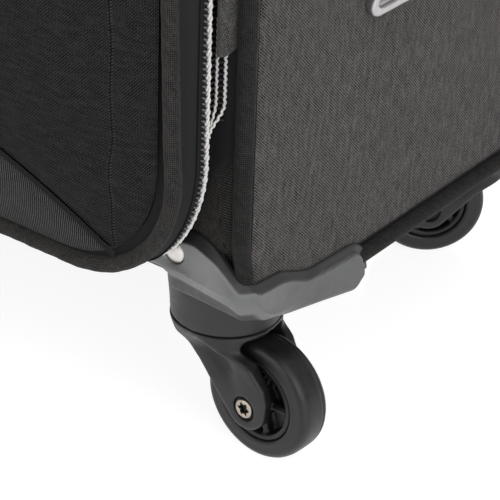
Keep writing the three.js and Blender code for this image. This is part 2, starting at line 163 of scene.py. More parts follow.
def woven(name, dark, light, pitch=0.42, turn=0.0, contrast=1.0, ribs=None, sheen=0.15, patchy=0.12,
          spread=0.2):
    """Plain weave of heather yarns: light ones one way, dark ones the other, with gaps between, and painted
    shade darkening the yarns' edges, the gaps and any rib hollows.
    """
    f = Finish(name, roughness=0.92, Specular_IOR_Level=0.12, Sheen_Weight=sheen, Sheen_Roughness=0.5)
    uv = f.weave()
    if turn:
        uv = f.add("ShaderNodeVectorRotate", {"Vector": uv, "Angle": math.radians(turn)})
    split = f.tree.nodes.new("ShaderNodeSeparateXYZ")
    f.put(split, {0: f.add("ShaderNodeVectorMath", {0: uv, "Scale": 1 / pitch}, operation="SCALE")})
    u, v = split.outputs[0], split.outputs[1]
    iu, iv = f.math("FLOOR", u), f.math("FLOOR", v)
    over = f.math("LESS_THAN", f.math("WRAP", f.math("ADD", iu, iv), 2.0, 0.0), 0.5)

    def yarn(across, along, seed):
        """Tone of the yarn with this number, at this distance along it."""
        key = f.add("ShaderNodeCombineXYZ", {0: f.math("MULTIPLY", across, 7.31), 1: f.math(
            "MULTIPLY", along, 0.45), 2: seed})
        return f.noise(key, 1.0, 1.5, 0.6)

    def round_top(value, fall):
        middle = f.math("SUBTRACT", f.math("FRACT", value), 0.5)
        return f.math("SUBTRACT", 1.0, f.math("MULTIPLY", f.math("MULTIPLY", middle, middle), fall))

    def pick(a, b):
        return f.math("ADD", f.math("MULTIPLY", a, over), f.math(
            "MULTIPLY", b, f.math("SUBTRACT", 1.0, over)))

    tone = pick(yarn(iu, v, 1.0), yarn(iv, u, 9.0))
    height = f.math("MULTIPLY", pick(round_top(u, 3.4), round_top(v, 3.4)),
                    pick(round_top(v, 1.6), round_top(u, 1.6)))
    if ribs:
        wave = f.math("SINE", f.math("MULTIPLY", u, 2 * math.pi * pitch / ribs))
        height = f.math("ADD", f.math("MULTIPLY", height, 0.4), wave)
        # Painted shade: the rib hollows are darkened with the same wave as the bump.
        tone = f.math("ADD", tone, f.math("MULTIPLY", wave, 0.13))
    cloud = f.noise(uv, 0.03, 3.0, 0.6)
    slub = f.noise(uv, 0.5, 2.0, 0.6, (0.25, 1.0, 1.0))
    # Painted shade: the yarns' low edges and the gaps between them are darkened with the height.
    tone = f.math("ADD", tone, f.math("MULTIPLY", f.math("SUBTRACT", height, 0.68), 0.5 * contrast))
    tone = f.math("ADD", tone, f.math("MULTIPLY", f.math("SUBTRACT", over, 0.5), 0.24 * contrast))
    tone = f.math("ADD", tone, f.math("MULTIPLY", f.math("SUBTRACT", cloud, 0.5), patchy))
    tone = f.math("ADD", tone, f.math("MULTIPLY", f.math("SUBTRACT", slub, 0.5), 0.36 * contrast))
    middle = tuple((a + b) / 2.6 for a, b in zip(dark, light))
    colour = f.ramp(tone, [(0.5 - spread, dark), (0.52, middle), (0.5 + spread, light)])
    return f.finish(colour, height, 0.5, 0.00012)


def moulded(name, base, roughness=0.5, grain=0.35, wear=0.5, band=None):
    """Injection-moulded plastic with a fine spark-eroded grain and slightly polished edges."""
    f = Finish(name, Specular_IOR_Level=0.3)
    place = f.place()
    speck = f.noise(place, 3.2, 4.0, 0.65)
    cloud = f.noise(place, 0.06, 3.0, 0.55)
    edge = f.range(f.add("ShaderNodeNewGeometry", {}, "Pointiness"), 0.5, 0.56, 0.0, wear)
    colour = f.ramp(f.math("ADD", f.math("MULTIPLY", speck, 0.5), f.math("MULTIPLY", cloud, 0.5)), [
        (0.34, grey(base * 0.8, -0.01)), (0.66, grey(base * 1.2, -0.012))])
    colour = f.mix(edge, colour, grey(base * 1.9, -0.01))
    # Painted shade: the tone attribute mixes in the dark band grey.
    if band is not None:
        colour = f.mix(f.tone(), colour, grey(band, -0.01))
    rough = f.range(f.noise(place, 0.4, 3.0, 0.6), 0.3, 0.7, roughness - 0.07, roughness + 0.07)
    return f.finish(colour, speck, grain, 0.00008, rough)


def metal(name, base, roughness=0.28, brushed=(1, 1, 1), metallic=1.0):
    f = Finish(name, Metallic=metallic)
    place = f.place()
    scratch = f.noise(place, 4.0, 4.0, 0.7, brushed)
    smudge = f.noise(place, 0.25, 3.0, 0.6)
    colour = f.ramp(smudge, [(0.3, tuple(c * 0.82 for c in base)), (0.7, base)])
    rough = f.range(scratch, 0.25, 0.75, roughness * 0.75, roughness * 1.4)
    return f.finish(colour, scratch, 0.12, 0.00004, rough)


def tape(name, base, pitch=0.6, rough=0.75, sheen=0.2):
    """Close black webbing: a fine herringbone that only shows in raking light, painted into the colour as light
    ridges and shaded furrows.
    """
    f = Finish(name, roughness=rough, Specular_IOR_Level=0.3, Sheen_Weight=sheen, Sheen_Roughness=0.4)
    uv = f.weave()
    split = f.tree.nodes.new("ShaderNodeSeparateXYZ")
    f.put(split, {0: uv})
    u, v = split.outputs[0], split.outputs[1]
    lean = f.math("PINGPONG", v, 1.6)
    wave = f.math("SINE", f.math("MULTIPLY", f.math("ADD", u, lean), 2 * math.pi / pitch))
    fuzz = f.noise(uv, 1.4, 3.0, 0.7)
    # Painted shade: the herringbone wave, which also makes the bump, lightens its ridges and darkens its
    # furrows.
    tone = f.math("ADD", f.math("MULTIPLY", wave, 0.12), fuzz)
    colour = f.ramp(tone, [(0.3, tuple(c * 0.55 for c in base)), (0.75, tuple(c * 1.5 for c in base))])
    return f.finish(colour, tone, 0.4, 0.00015)


def thread(name, base, roughness=0.55):
    """Twisted yarn or moulded coil of one colour, with painted shade making it a little darker in its hollows.
    """
    f = Finish(name, roughness=roughness, Specular_IOR_Level=0.4, Sheen_Weight=0.1)
    place = f.place()
    fuzz = f.noise(place, 2.5, 3.0, 0.6)
    # Painted shade: where pointiness is low, in the hollows, the colour is darkened to 0.55.
    hollow_painted_shade = f.range(f.add("ShaderNodeNewGeometry", {}, "Pointiness"), 0.42, 0.52, 0.0, 1.0)
    colour = f.ramp(fuzz, [(0.25, tuple(c * 0.82 for c in base)), (0.7, base)])
    colour = f.mix(hollow_painted_shade, tuple(c * 0.55 for c in base), colour)
    return f.finish(colour, fuzz, 0.3, 0.0001)


def rubber(name, base):
    f = Finish(name, Specular_IOR_Level=0.33)
    place = f.place()
    speck = f.noise(place, 1.6, 4.0, 0.7)
    scuff = f.noise(place, 0.3, 4.0, 0.65)
    colour = f.ramp(scuff, [(0.35, grey(base * 0.8, -0.02)), (0.7, grey(base * 1.25, -0.02))])
    return f.finish(colour, speck, 0.15, 0.00006, f.range(scuff, 0.3, 0.7, 0.34, 0.48))


SIDE = woven("side_heather", (0.0017, 0.0015, 0.0015), (0.124, 0.1135, 0.1125), pitch=0.62,
             contrast=2.1, sheen=0.04, spread=0.15)
PIPE = woven("piping_heather", grey(0.002, 0.02), grey(0.028, 0.04), pitch=0.55, turn=45,
             contrast=1.5, sheen=0.03)
LID_PIPE = woven("lid_piping_heather", grey(0.003, 0.03), grey(0.040, 0.05), pitch=0.55, turn=45,
                 contrast=1.5, sheen=0.03)
FRONT = woven("front_heather", (0.0012, 0.0011, 0.0012), (0.026, 0.0238, 0.0252), pitch=0.6,
              contrast=2.6, sheen=0.0, spread=0.14)
YOKE = woven("ribbed_yoke", grey(0.006, 0.0), grey(0.066, 0.02), pitch=0.45, ribs=0.9, sheen=0.03)
BORDER = woven("border_twill", grey(0.002, 0.04), grey(0.050, 0.06), pitch=0.62, turn=8,
               contrast=1.5, sheen=0.02)
BACK = woven("back_heather", grey(0.005, 0.04), grey(0.10, 0.05), pitch=0.62, sheen=0.05)
UNDER = tape("bottom_cloth", grey(0.014), pitch=1.2)
GUSSET = tape("lid_gusset_tape", (0.0036, 0.0042, 0.0039), pitch=0.9, sheen=0.04)
TAPE = tape("zip_tape", grey(0.0045, 0.0), pitch=0.7, rough=0.85, sheen=0.05)
WEBBING = tape("handle_webbing", grey(0.022), pitch=1.4)
LINING = tape("lining_cloth", grey(0.016), pitch=0.8)
STITCH = thread("stitch_thread", grey(0.035))
COIL = thread("zip_coil_white", (0.66, 0.65, 0.63), 0.45)
RUNG = thread("zip_rung", (0.030, 0.024, 0.030), 0.5)
COMB = thread("zip_comb_grey", (0.115, 0.105, 0.115), 0.5)
GARAGE = woven("garage_cloth", grey(0.012, 0.03), grey(0.095, 0.04), pitch=0.55, turn=20)
# band: the dark grey of the painted shade on the housings' lip, boss and side wing.
HOUSING = moulded("housing_grey", 0.150, 0.46, band=0.012)
CASTER = moulded("caster_grey", 0.062, 0.44)
# band: the dark grey of the painted shade on the forks' inner faces.
FORK = moulded("fork_grey", 0.0145, 0.44, band=0.002)
HUB = moulded("hub_black", 0.006, 0.4)
GRIP = moulded("grip_black", 0.020, 0.6, grain=0.6)
TYRE = rubber("tyre_rubber", 0.0095)
SILVER = metal("rivet_silver", (0.72, 0.69, 0.66), 0.42)
SCREW = metal("screw_bronze", (0.42, 0.37, 0.32), 0.34)
STEEL = metal("pin_steel", (0.5, 0.5, 0.5), 0.3)
DARK_CHROME = metal("slider_dark", (0.16, 0.16, 0.17), 0.25)
ANODISED = metal("tube_anodised", (0.36, 0.37, 0.38), 0.3, (1, 1, 0.05))
CHROME = metal("anchor_chrome", (0.50, 0.49, 0.50), 0.3)

# ---- mesh helpers ----
def finish_piece(name, mesh, material, body, slot, replaces=(), smooth=True):
    mesh.materials.append(material)
    if smooth:
        mesh.polygons.foreach_set("use_smooth", [True] * len(mesh.polygons))
    piece = bpy.data.objects.new(name, mesh)
    bpy.context.scene.collection.objects.link(piece)
    if body:
        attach(piece, body)
    if replaces:
        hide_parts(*replaces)
    return piece


def build(name, points, faces, weave=None, fix=True):
    """A mesh from millimetre points in the case's frame. weave is one (u, v) pair per face corner."""
    mesh = bpy.data.meshes.new(name)
    mesh.from_pydata(row(points).tolist(), [], [list(map(int, f)) for f in faces])
    if weave is not None:
        flat = np.zeros((len(weave), 3), np.float32)
        flat[:, :2] = weave
        mesh.attributes.new("weave", "FLOAT_VECTOR", "CORNER").data.foreach_set("vector", flat.ravel())
    mesh.update()
    if fix:
        made = bmesh.new()
        made.from_mesh(mesh)
        bmesh.ops.recalc_face_normals(made, faces=made.faces)
        made.to_mesh(mesh)
        made.free()
    return mesh


def grid_mesh(name, points, u, v, wrap_u=False, wrap_v=False, caps=False):
    """Quads over points[i, j]. u[i] and v[j] (or arrays of the grid's shape) are the weave's millimetres."""
    rows, cols = points.shape[:2]
    u = np.broadcast_to(np.asarray(u, float).reshape(len(u), -1), (len(u), cols + wrap_v))
    v = np.asarray(v, float)
    v = np.broadcast_to(v if v.ndim == 2 else v[None, :], (rows + wrap_u, v.shape[-1]))
    i, j = np.meshgrid(np.arange(rows - 1 + wrap_u), np.arange(cols - 1 + wrap_v), indexing="ij")
    i, j = i.ravel(), j.ravel()
    i2, j2 = (i + 1) % rows, (j + 1) % cols
    faces = np.stack([i * cols + j, i2 * cols + j, i2 * cols + j2, i * cols + j2], 1).tolist()
    corners = [(i, j), (i + 1, j), (i + 1, j + 1), (i, j + 1)]
    weave = np.stack([np.stack([u[a, b], v[a, b]], -1) for a, b in corners], 1).reshape(-1, 2)
    if caps:
        for ring in (range(cols), range((rows - 1) * cols, rows * cols)):
            faces.append(list(ring))
            weave = np.concatenate([weave, np.zeros((cols, 2))])
    return build(name, points.reshape(-1, 3), faces, weave)


class Outline:
    """A rounded rectangle in the X-z plane, walked from the middle of its bottom, right and up."""

    def __init__(self, half, low, high, r_low, r_high, steps=72):
        corners = [(half - r_low, low + r_low, r_low), (half - r_high, high - r_high, r_high),
                   (r_high - half, high - r_high, r_high), (r_low - half, low + r_low, r_low)]
        places, normals = [(0, low)], [(0, -1)]
        for k, (cx, cz, r) in enumerate(corners):
            a = np.radians(np.linspace(-90, 0, steps) + 90 * k)
            places += list(zip(cx + r * np.cos(a), cz + r * np.sin(a)))
            normals += list(zip(np.cos(a), np.sin(a)))
        self.places = np.array(places + [(0, low)])
        self.normals = np.array(normals + [(0, -1)])
        gaps = np.hypot(*np.diff(self.places, axis=0).T)
        self.walked = np.concatenate([[0], np.cumsum(gaps)])
        self.length = self.walked[-1]

    def at(self, s):
        pick = lambda table: np.stack([np.interp(s, self.walked, table[:, k]) for k in (0, 1)], -1)
        normals = pick(self.normals)
        return pick(self.places), normals / np.linalg.norm(normals, axis=-1, keepdims=True)

    def find(self, z, right=True):
        """Distance walked where the outline's right (or left) side passes this height."""
        half = len(self.walked) // 2
        s = np.interp(z, self.places[:half, 1], self.walked[:half])
        return s if right else self.length - s

    def steps(self, first, last, gap):
        """Places to sample, evenly spaced from first to last."""
        s = np.linspace(first, last, max(2, int(abs(last - first) / gap) + 1))
        return np.unique(np.round(s, 4))


def case_outline(inset, r_low=8.0):
    return Outline(HALF - inset, BOTTOM + inset, TOP - inset, max(r_low - inset, 1.0), TOP_RADIUS - inset)


ZIP_LOW, ZIP_RADIUS, ZIP_FLOOR, ZIP_EASE = 63.1, 79.8, 94.0, 4.0


def zip_outline(inset):
    """The zip's path: its bottom run levels out gently at ZIP_FLOOR."""
    line = Outline(HALF - inset, ZIP_LOW + inset, TOP - inset, ZIP_RADIUS - inset, TOP_RADIUS - inset)
    line.places[:, 1] = ZIP_FLOOR + ZIP_EASE * np.log1p(np.exp((line.places[:, 1] - ZIP_FLOOR) / ZIP_EASE))
    gaps = np.hypot(*np.diff(line.places, axis=0).T)
    line.walked = np.concatenate([[0], np.cumsum(gaps)])
    line.length = line.walked[-1]
    return line


def lid_outline(inset):
    return Outline(HALF - 12 - inset, 98.8 + inset, TOP - 12 - inset, 46 - inset, 46 - inset)


def sweep(name, outline, section, s, loop=False, tube=False, caps=False):
    """Carries a section of (outward, y) pairs along an outline. The section may be a function of s."""
    place, normal = outline.at(s)
    ring = section(s) if callable(section) else np.broadcast_to(section, (len(s), *np.shape(section)))
    out, y = ring[..., 0], ring[..., 1]
    points = np.stack([place[:, :1] + normal[:, :1] * out, y, place[:, 1:] + normal[:, 1:] * out], -1)
    first = ring[len(ring) // 2]
    closed = np.concatenate([first, first[:1]]) if tube else first
    across = np.concatenate([[0], np.cumsum(np.hypot(*np.diff(closed, axis=0).T))])
    if loop:
        points = points[:-1]
    return grid_mesh(name, points, s, across, loop, tube, caps)


def circle(radius, y=0.0, out=0.0, sides=14):
    a = np.arange(sides) / sides * 2 * math.pi
    return np.stack([out + radius * np.cos(a), y + radius * np.sin(a)], -1)


def tube_along(path, radius, sides=8, closed=False):
    """Points and faces of a round tube through 3-D points."""
    path = np.asarray(path, float)
    ahead = np.roll(path, -1, 0) - np.roll(path, 1, 0) if closed else np.gradient(path, axis=0)
    ahead /= np.linalg.norm(ahead, axis=1, keepdims=True)
    side = np.cross(ahead, (0.0, 1.0, 0.03))
    side /= np.linalg.norm(side, axis=1, keepdims=True)
    up = np.cross(side, ahead)
    a = np.arange(sides) / sides * 2 * math.pi
    radius = np.broadcast_to(radius, len(path))[:, None, None]
    ring = side[:, None] * np.cos(a)[None, :, None] + up[:, None] * np.sin(a)[None, :, None]
    points = path[:, None] + ring * radius
    n = len(path)
    i, j = np.meshgrid(np.arange(n - 1 + closed), np.arange(sides), indexing="ij")
    i, j = i.ravel(), j.ravel()
    i2, j2 = (i + 1) % n, (j + 1) % sides
    faces = np.stack([i * sides + j, i2 * sides + j, i2 * sides + j2, i * sides + j2], 1).tolist()
    if not closed:
        faces += [list(range(sides)), list(range((n - 1) * sides, n * sides))]
    return points.reshape(-1, 3), faces


def merge(parts):
    """Several (points, faces) pairs as one."""
    points, faces, start = [], [], 0
    for p, f in parts:
        points.append(p)
        faces += [[k + start for k in face] for face in f]
        start += len(p)
    return np.concatenate(points), faces


def stitches(path, outward, length=2.6, gap=1.4, radius=0.24):
    """A row of short raised stitches along a path, each dipping into the cloth at its ends."""
    path = np.asarray(path, float)
    walked = np.concatenate([[0], np.cumsum(np.linalg.norm(np.diff(path, axis=0), axis=1))])
    at = lambda s: np.stack([np.interp(s, walked, path[:, k]) for k in range(3)], -1)
    out = np.broadcast_to(outward, path.shape)
    out_at = lambda s: np.stack([np.interp(s, walked, out[:, k]) for k in range(3)], -1)
    bend = np.linspace(0, 1, 5)
    parts = []
    for start in np.arange(gap, walked[-1] - length, length + gap):
        s = start + length * bend
        lift = (np.sin(bend * math.pi) - 0.45) * radius * 1.2
        parts.append(tube_along(at(s) + out_at(s) * lift[:, None], radius, 6))
    return merge(parts)


def solid(name, field, low, high, step, material, body, slot, replaces=(), tone=None, turn=None,
          flip=(1, 1, 1), shift=(0, 0, 0), relax=2):
    """A moulded piece: the surface where field(x, y, z) is zero, in local millimetres."""
    axes = [np.arange(a, b + step, step, dtype=np.float32) for a, b in zip(low, high)]
    x, y, z = np.meshgrid(*axes, indexing="ij", sparse=True)
    reach = 3 * step
    values = np.clip(field(x, y, z), -reach, reach).astype(np.float32)
    volume = openvdb.FloatGrid(background=float(reach))
    volume.copyFromArray(np.ascontiguousarray(values))
    points, triangles, quads = volume.convertToPolygons(0.0, 0.0)
    points = np.asarray(points, float) * step + np.asarray(low, float)
    faces = [list(f) for f in quads] + [list(f) for f in triangles]
    # tone, if given, paints shade: it is stored as the tone attribute.
    shade = None if tone is None else tone(*points.T)
    return shell(name, points, faces, material, body, slot, replaces, shade, turn, flip, shift, relax)


def shell(name, points, faces, material, body, slot, replaces=(), shade=None, turn=None,
          flip=(1, 1, 1), shift=(0, 0, 0), relax=0):
    """Puts local points into the case's frame and makes the piece."""
    placed = np.asarray(points) * np.asarray(flip)
    if turn is not None:
        placed = placed @ np.array(turn).T
    mesh = build(name, placed + np.asarray(shift), faces, fix=False)
    # The tone attribute: painted shade, mixed into the colour by the material.
    if shade is not None:
        mesh.attributes.new("tone", "FLOAT", "POINT").data.foreach_set(
            "value", np.asarray(shade, np.float32))
    made = bmesh.new()
    made.from_mesh(mesh)
    for _ in range(relax):
        bmesh.ops.smooth_vert(made, verts=made.verts, factor=0.4, use_axis_x=True,
                              use_axis_y=True, use_axis_z=True)
    bmesh.ops.recalc_face_normals(made, faces=made.faces)
    made.to_mesh(mesh)
    made.free()
    return finish_piece(name, mesh, material, body, slot, replaces)


def lathe(profile, sides=48):
    """Points and faces of a profile of (radius, height) turned about local z, closed at both ends."""
    profile = np.asarray(profile, float)
    a = np.arange(sides) / sides * 2 * math.pi
    ring = np.stack([profile[:, None, 0] * np.cos(a), profile[:, None, 0] * np.sin(a),
                     np.broadcast_to(profile[:, None, 1], (len(profile), sides))], -1)
    n = len(profile)
    i, j = np.meshgrid(np.arange(n - 1), np.arange(sides), indexing="ij")
    i, j = i.ravel(), j.ravel()
    j2 = (j + 1) % sides
    faces = np.stack([i * sides + j, (i + 1) * sides + j, (i + 1) * sides + j2, i * sides + j2], 1).tolist()
    return ring.reshape(-1, 3), faces + [list(range(sides)), list(range((n - 1) * sides, n * sides))]


# ---- distance fields ----
def both(a, b, k=0.0):
    """Overlap of two fields, with its edge rounded by k."""
    if not k:
        return np.maximum(a, b)
    h = np.clip(k - np.abs(a - b), 0, None) / k
    return np.maximum(a, b) + h * h * k / 4


def either(a, b, k=0.0):
    return -both(-a, -b, k)


def block(x, y, z, centre, half, r=0.0):
    q = [np.abs(p - c) - h + r for p, c, h in zip((x, y, z), centre, half)]
    out = np.sqrt(sum(np.maximum(a, 0) ** 2 for a in q))
    return out + np.minimum(np.maximum(np.maximum(q[0], q[1]), q[2]), 0) - r


def polygon(a, b, corners):
    """Signed distance to a polygon in the a-b plane."""
    a, b = np.broadcast_arrays(a, b)
    near = np.full(a.shape, 1e9)
    inside = np.zeros(a.shape, bool)
    for (a0, b0), (a1, b1) in zip(corners, corners[1:] + corners[:1]):
        da, db = a1 - a0, b1 - b0
        t = np.clip(((a - a0) * da + (b - b0) * db) / (da * da + db * db), 0, 1)
        near = np.minimum(near, np.hypot(a - a0 - t * da, b - b0 - t * db))
        if b0 != b1:
            inside ^= ((b0 > b) != (b1 > b)) & (a < (b - b0) * da / db + a0)
    return np.where(inside, -near, near)


def smooth(t):
    t = np.clip(t, 0, 1)
    return t * t * (3 - 2 * t)


# ---- the case's cloth ----
def crown(s_share, y, rise):
    """How far a filled panel stands out between its seams."""
    across = np.sin(np.clip(y / DEPTH, 0, 1) * math.pi) ** 0.5
    return rise * across * s_share


def seam_dip(y, depth=1.6, width=5.0):
    near = np.minimum(y, DEPTH - y)
    return -depth * (1 - smooth(near / width))


def wrinkle(a, b, size, seed=0.0):
    """Slow unevenness of stretched cloth, from a few crossing waves."""
    total = 0
    for k, (p, q) in enumerate([(1.0, 0.37), (-0.43, 0.91), (0.71, -0.62), (0.13, 1.31)]):
        total = total + np.sin((p * a + q * b) * (0.021 + 0.008 * k) + seed + 1.7 * k)
    return size * total / 4


BOTTOM_LIFT, BOTTOM_RUN = 24.0, 32.0


def bottom_rise(y):
    """How far the case's bottom curves up towards its front edge."""
    past = np.clip(BOTTOM_RUN - y, 0, BOTTOM_RUN) / BOTTOM_RUN
    return BOTTOM_LIFT * (1 - np.sqrt(np.clip(1 - past ** 2, 0, 1)))


def add_case():
    outline = case_outline(0)
    first, last = outline.find(BOTTOM + 8), outline.find(BOTTOM + 8, False)
    s = outline.steps(first, last, 5.0)
    y = np.unique(np.concatenate([[0.6, 1.4, 2.4, 3.6, 5, 7, 10], np.arange(15, 240, 7.0),
                                  DEPTH - np.array([10, 7, 5, 3.6, 2.4, 1.4, 0.6])]))
    place, _ = outline.at(s)
    calm = smooth((place[:, 1] - BOTTOM) / 90)[:, None]
    bulge = crown(1.0, y[None, :], 2.4) * (0.25 + 0.75 * calm) + seam_dip(y[None, :])
    bulge = bulge + wrinkle(s[:, None], y[None, :], 0.5) * calm
    mesh = sweep("side_wrap", outline, lambda _: np.stack(
        [bulge, np.broadcast_to(y, bulge.shape)], -1), s)
    finish_piece("side_wrap", mesh, SIDE, "case", "side_fabric", ("right_panel", "top_panel", "left_panel"))

    x = HALF - 8 + 8 * np.sin(np.radians(np.linspace(0, 90, 9)))
    x = np.concatenate([-x[::-1], np.linspace(-HALF + 8, HALF - 8, 62)[1:-1], x])
    y = np.unique(np.concatenate([np.linspace(0, 34, 14), np.linspace(34, DEPTH, 32)]))
    corner = 8 - np.sqrt(np.clip(64 - np.clip(np.abs(x) - HALF + 8, 0, 8) ** 2, 0, None))
    front = bottom_rise(y)
    back = 5 * (1 - np.sqrt(np.clip(1 - (np.clip(y - DEPTH + 8, 0, 8) / 8) ** 2, 0, 1)))
    inner = smooth((HALF - 15 - np.abs(x)) / 20)[:, None]
    z = BOTTOM + np.maximum(corner[:, None] + back[None, :] * inner, front[None, :])
    z = z + 1.2 * inner * np.sin(y / DEPTH * math.pi)[None, :] + wrinkle(x[:, None], y[None, :], 0.4, 2)
    points = np.stack(np.broadcast_arrays(x[:, None], y[None, :], z), -1)
    finish_piece("bottom_cloth", grid_mesh("bottom_cloth", points, x, y), UNDER, "case",
                 "dark_fabric", ("bottom_panel",))

    outline = case_outline(0)
    n = outline.steps(0, outline.length, 5.0)
    depth = [(-2.4, DEPTH - 0.5), (-5, DEPTH + 0.2), (-9, DEPTH + 0.4), (-20, DEPTH + 0.6)]
    finish_piece("back_edge", sweep("back_edge", outline, np.array(depth), n, loop=True), BACK,
                 "case", "side_fabric")
    x = np.linspace(-195, 195, 60)
    z = np.linspace(BOTTOM + 20, TOP - 20, 80)
    inset = 195 - 40 + np.sqrt(np.clip(1600 - np.clip(z - (TOP - 60), 0, 40) ** 2, 0, None))
    points = np.stack(np.broadcast_arrays(
        x[:, None] / 195 * inset[None, :],
        DEPTH + 0.6 + 1.6 * np.cos(x / 195 * math.pi / 2)[:, None] * np.sin(
            (z - z[0]) / (z[-1] - z[0]) * math.pi)[None, :] + wrinkle(x[:, None], z[None, :], 0.35, 4),
        z[None, :]), -1)
    finish_piece("back_cloth", grid_mesh("back_cloth", points, x, z), BACK, "case", "side_fabric",
                 ("back_panel",))


def border_sections():
    """Front border: twill from the corded edge inwards, then the black gusset strip beside the zip."""
    outer = case_outline(0)
    rim = zip_outline(22)
    s = outer.steps(0, outer.length, 2.5)
    place, _ = outer.at(s)
    walked = s / outer.length
    target = rim.at(np.interp(walked, np.linspace(0, 1, 401), matched(outer, rim)))[0]
    return s, place, target


def matched(outer, rim):
    """For each share of the outer outline, the distance round the rim that faces it."""
    places, _ = outer.at(np.linspace(0, outer.length, 401))
    middle = np.array([0.0, (BOTTOM + TOP) / 2])
    turn = lambda p: np.unwrap(np.arctan2((p[:, 0] - middle[0]) / HALF, -(p[:, 1] - middle[1]) / 280))
    rims = rim.at(np.linspace(0, rim.length, 2001))[0]
    a, b = turn(rims), turn(places)
    return np.interp(b, a, np.linspace(0, rim.length, 2001))


def add_border():
    s, place, target = border_sections()
    lift = BOTTOM_LIFT * smooth((BOTTOM + 30 - place[:, 1]) / 25)
    edge = place + np.stack([np.zeros(len(s)), lift], -1)
    share = np.array([0.0, 0.1, 0.2, 0.26, 0.31, 0.36, 0.42, 0.5, 0.7, 0.85, 1.0])
    points = edge[:, None] * (1 - share[:, None]) + target[:, None] * share[:, None]
    y = 0.3 - 0.9 * np.sin(share * math.pi) + 2.4 * (1 - smooth((share - 0.2) / 0.16))
    points = np.stack([points[..., 0], np.broadcast_to(y, points.shape[:2]), points[..., 1]], -1)
    width = np.linalg.norm(points[:, -1] - points[:, 0], axis=1)
    mesh = grid_mesh("front_twill", points[:-1], s, width[:, None] * share, True)
    finish_piece("front_twill", mesh, BORDER, "case", "dark_fabric", ("front_border",))

    strip = zip_outline(0)
    s = strip.steps(0, strip.length, 2.0)
    grow = smooth((strip.at(s)[0][:, 1] - 131) / 14)[:, None]
    outer_edge = -14.5 + 9.1 * grow
    ring = lambda _: np.stack([np.concatenate([
        outer_edge * np.ones((len(s), 1)), outer_edge - 0.3, (outer_edge - 17) / 2, np.full((len(s), 1), -17.0),
    ], 1), np.concatenate([np.full((len(s), 1), 0.2), np.full((len(s), 1), -0.9),
                           np.full((len(s), 1), -1.1), np.full((len(s), 1), -1.0)], 1)], -1)
    finish_piece("expansion_tape", sweep("expansion_tape", strip, ring, s, loop=True), TAPE, "case",
                 "lining")


def add_piping():
    outline = case_outline(2, 12)
    for name, y, node in (("front_cord", -1.0, "front_piping"), ("back_cord", DEPTH + 1, "back_piping")):
        first, last = outline.find(82), outline.find(82, False)
        s = outline.steps(first, last, 2.5)
        lumps = 0.07 * np.sin(s * 0.9) + 0.05 * np.sin(s * 0.41 + 1)
        bend = 2.8 * smooth((112 - outline.at(s)[0][:, 1]) / 18) * (y < 9)
        ring = lambda _: (circle(3.4, y, 0, 18)[None] + lumps[:, None, None] * circle(1, 0, 0, 18)[None]
                          + bend[:, None, None] * np.array([0.0, 1.0]))
        mesh = sweep(name, outline, ring, s, tube=True, caps=True)
        finish_piece(name, mesh, PIPE, "case", "piping_fabric", (node,))
        steps_back = (2.9, 1.4, 3.6, 6) if y < 9 else (0, -0.9, -3.6, -6)
        flange = np.stack([(-6.0, -3.0, 0.3, -1.5), y + np.array(steps_back)], -1)
        seam = sweep(name + "_seam", outline, flange, s)
        finish_piece(name + "_seam", seam, TAPE, "case", "piping_fabric")
    for side, word in ((1, "right"), (-1, "left")):
        y = np.linspace(40, DEPTH - 40, 90)
        path = np.stack([np.full(90, side * (HALF + 0.6)), y, np.full(90, 75.0)], -1)
        a = np.arange(16) / 16 * 2 * math.pi
        points = path[:, None] + np.stack([np.cos(a), 0 * a, np.sin(a)], -1)[None] * 3.7
        mesh = grid_mesh("bottom_cord_" + word, points, y, np.linspace(0, 23.2, 17), False, True, True)
        finish_piece("bottom_cord_" + word, mesh, PIPE, "case", "piping_fabric")
        seam = np.array([(HALF + 1.5, 80.5), (HALF - 1, 79.2), (HALF - 3, 78), (HALF - 6, 73)])
        points = np.stack(np.broadcast_arrays(
            side * seam[None, :, 0], y[:, None], seam[None, :, 1]), -1)
        mesh = grid_mesh("bottom_seam_" + word, points, y, np.arange(4) * 3.0)
        finish_piece("bottom_seam_" + word, mesh, TAPE, "case", "piping_fabric")


# ---- zips ----
def strand(outline, s, y, offset, phase, pitch, out=0.0):
    """One yarn of a twisted pair that follows an outline."""
    place, normal = outline.at(s)
    a = s / pitch * 2 * math.pi + phase
    n = out + offset * np.cos(a)
    return np.stack([place[:, 0] + normal[:, 0] * n, y + offset * np.sin(a),
                     place[:, 1] + normal[:, 1] * n], -1)


def teeth(outline, s, low, high, radius, y, tilt=0.0):
    """Short bars across an outline, one at each place in s, from one offset to another."""
    place, normal = outline.at(s)
    along = np.stack([-normal[:, 1], normal[:, 0]], -1)
    parts = []
    steps = np.linspace(0, 1, 5)
    n = low + (high - low) * steps
    for p, m, t in zip(place, normal, along):
        centre = p[None] + m[None] * n[:, None] + t[None] * (tilt * (steps - 0.5))[:, None]
        depth = (y[0] + (y[1] - y[0]) * steps) - 0.25 * np.sin(steps * math.pi)
        path = np.stack([centre[:, 0], depth, centre[:, 1]], -1)
        parts.append(tube_along(path, radius * (0.65 + 0.35 * np.sin(steps * math.pi)), 5))
    return merge(parts)


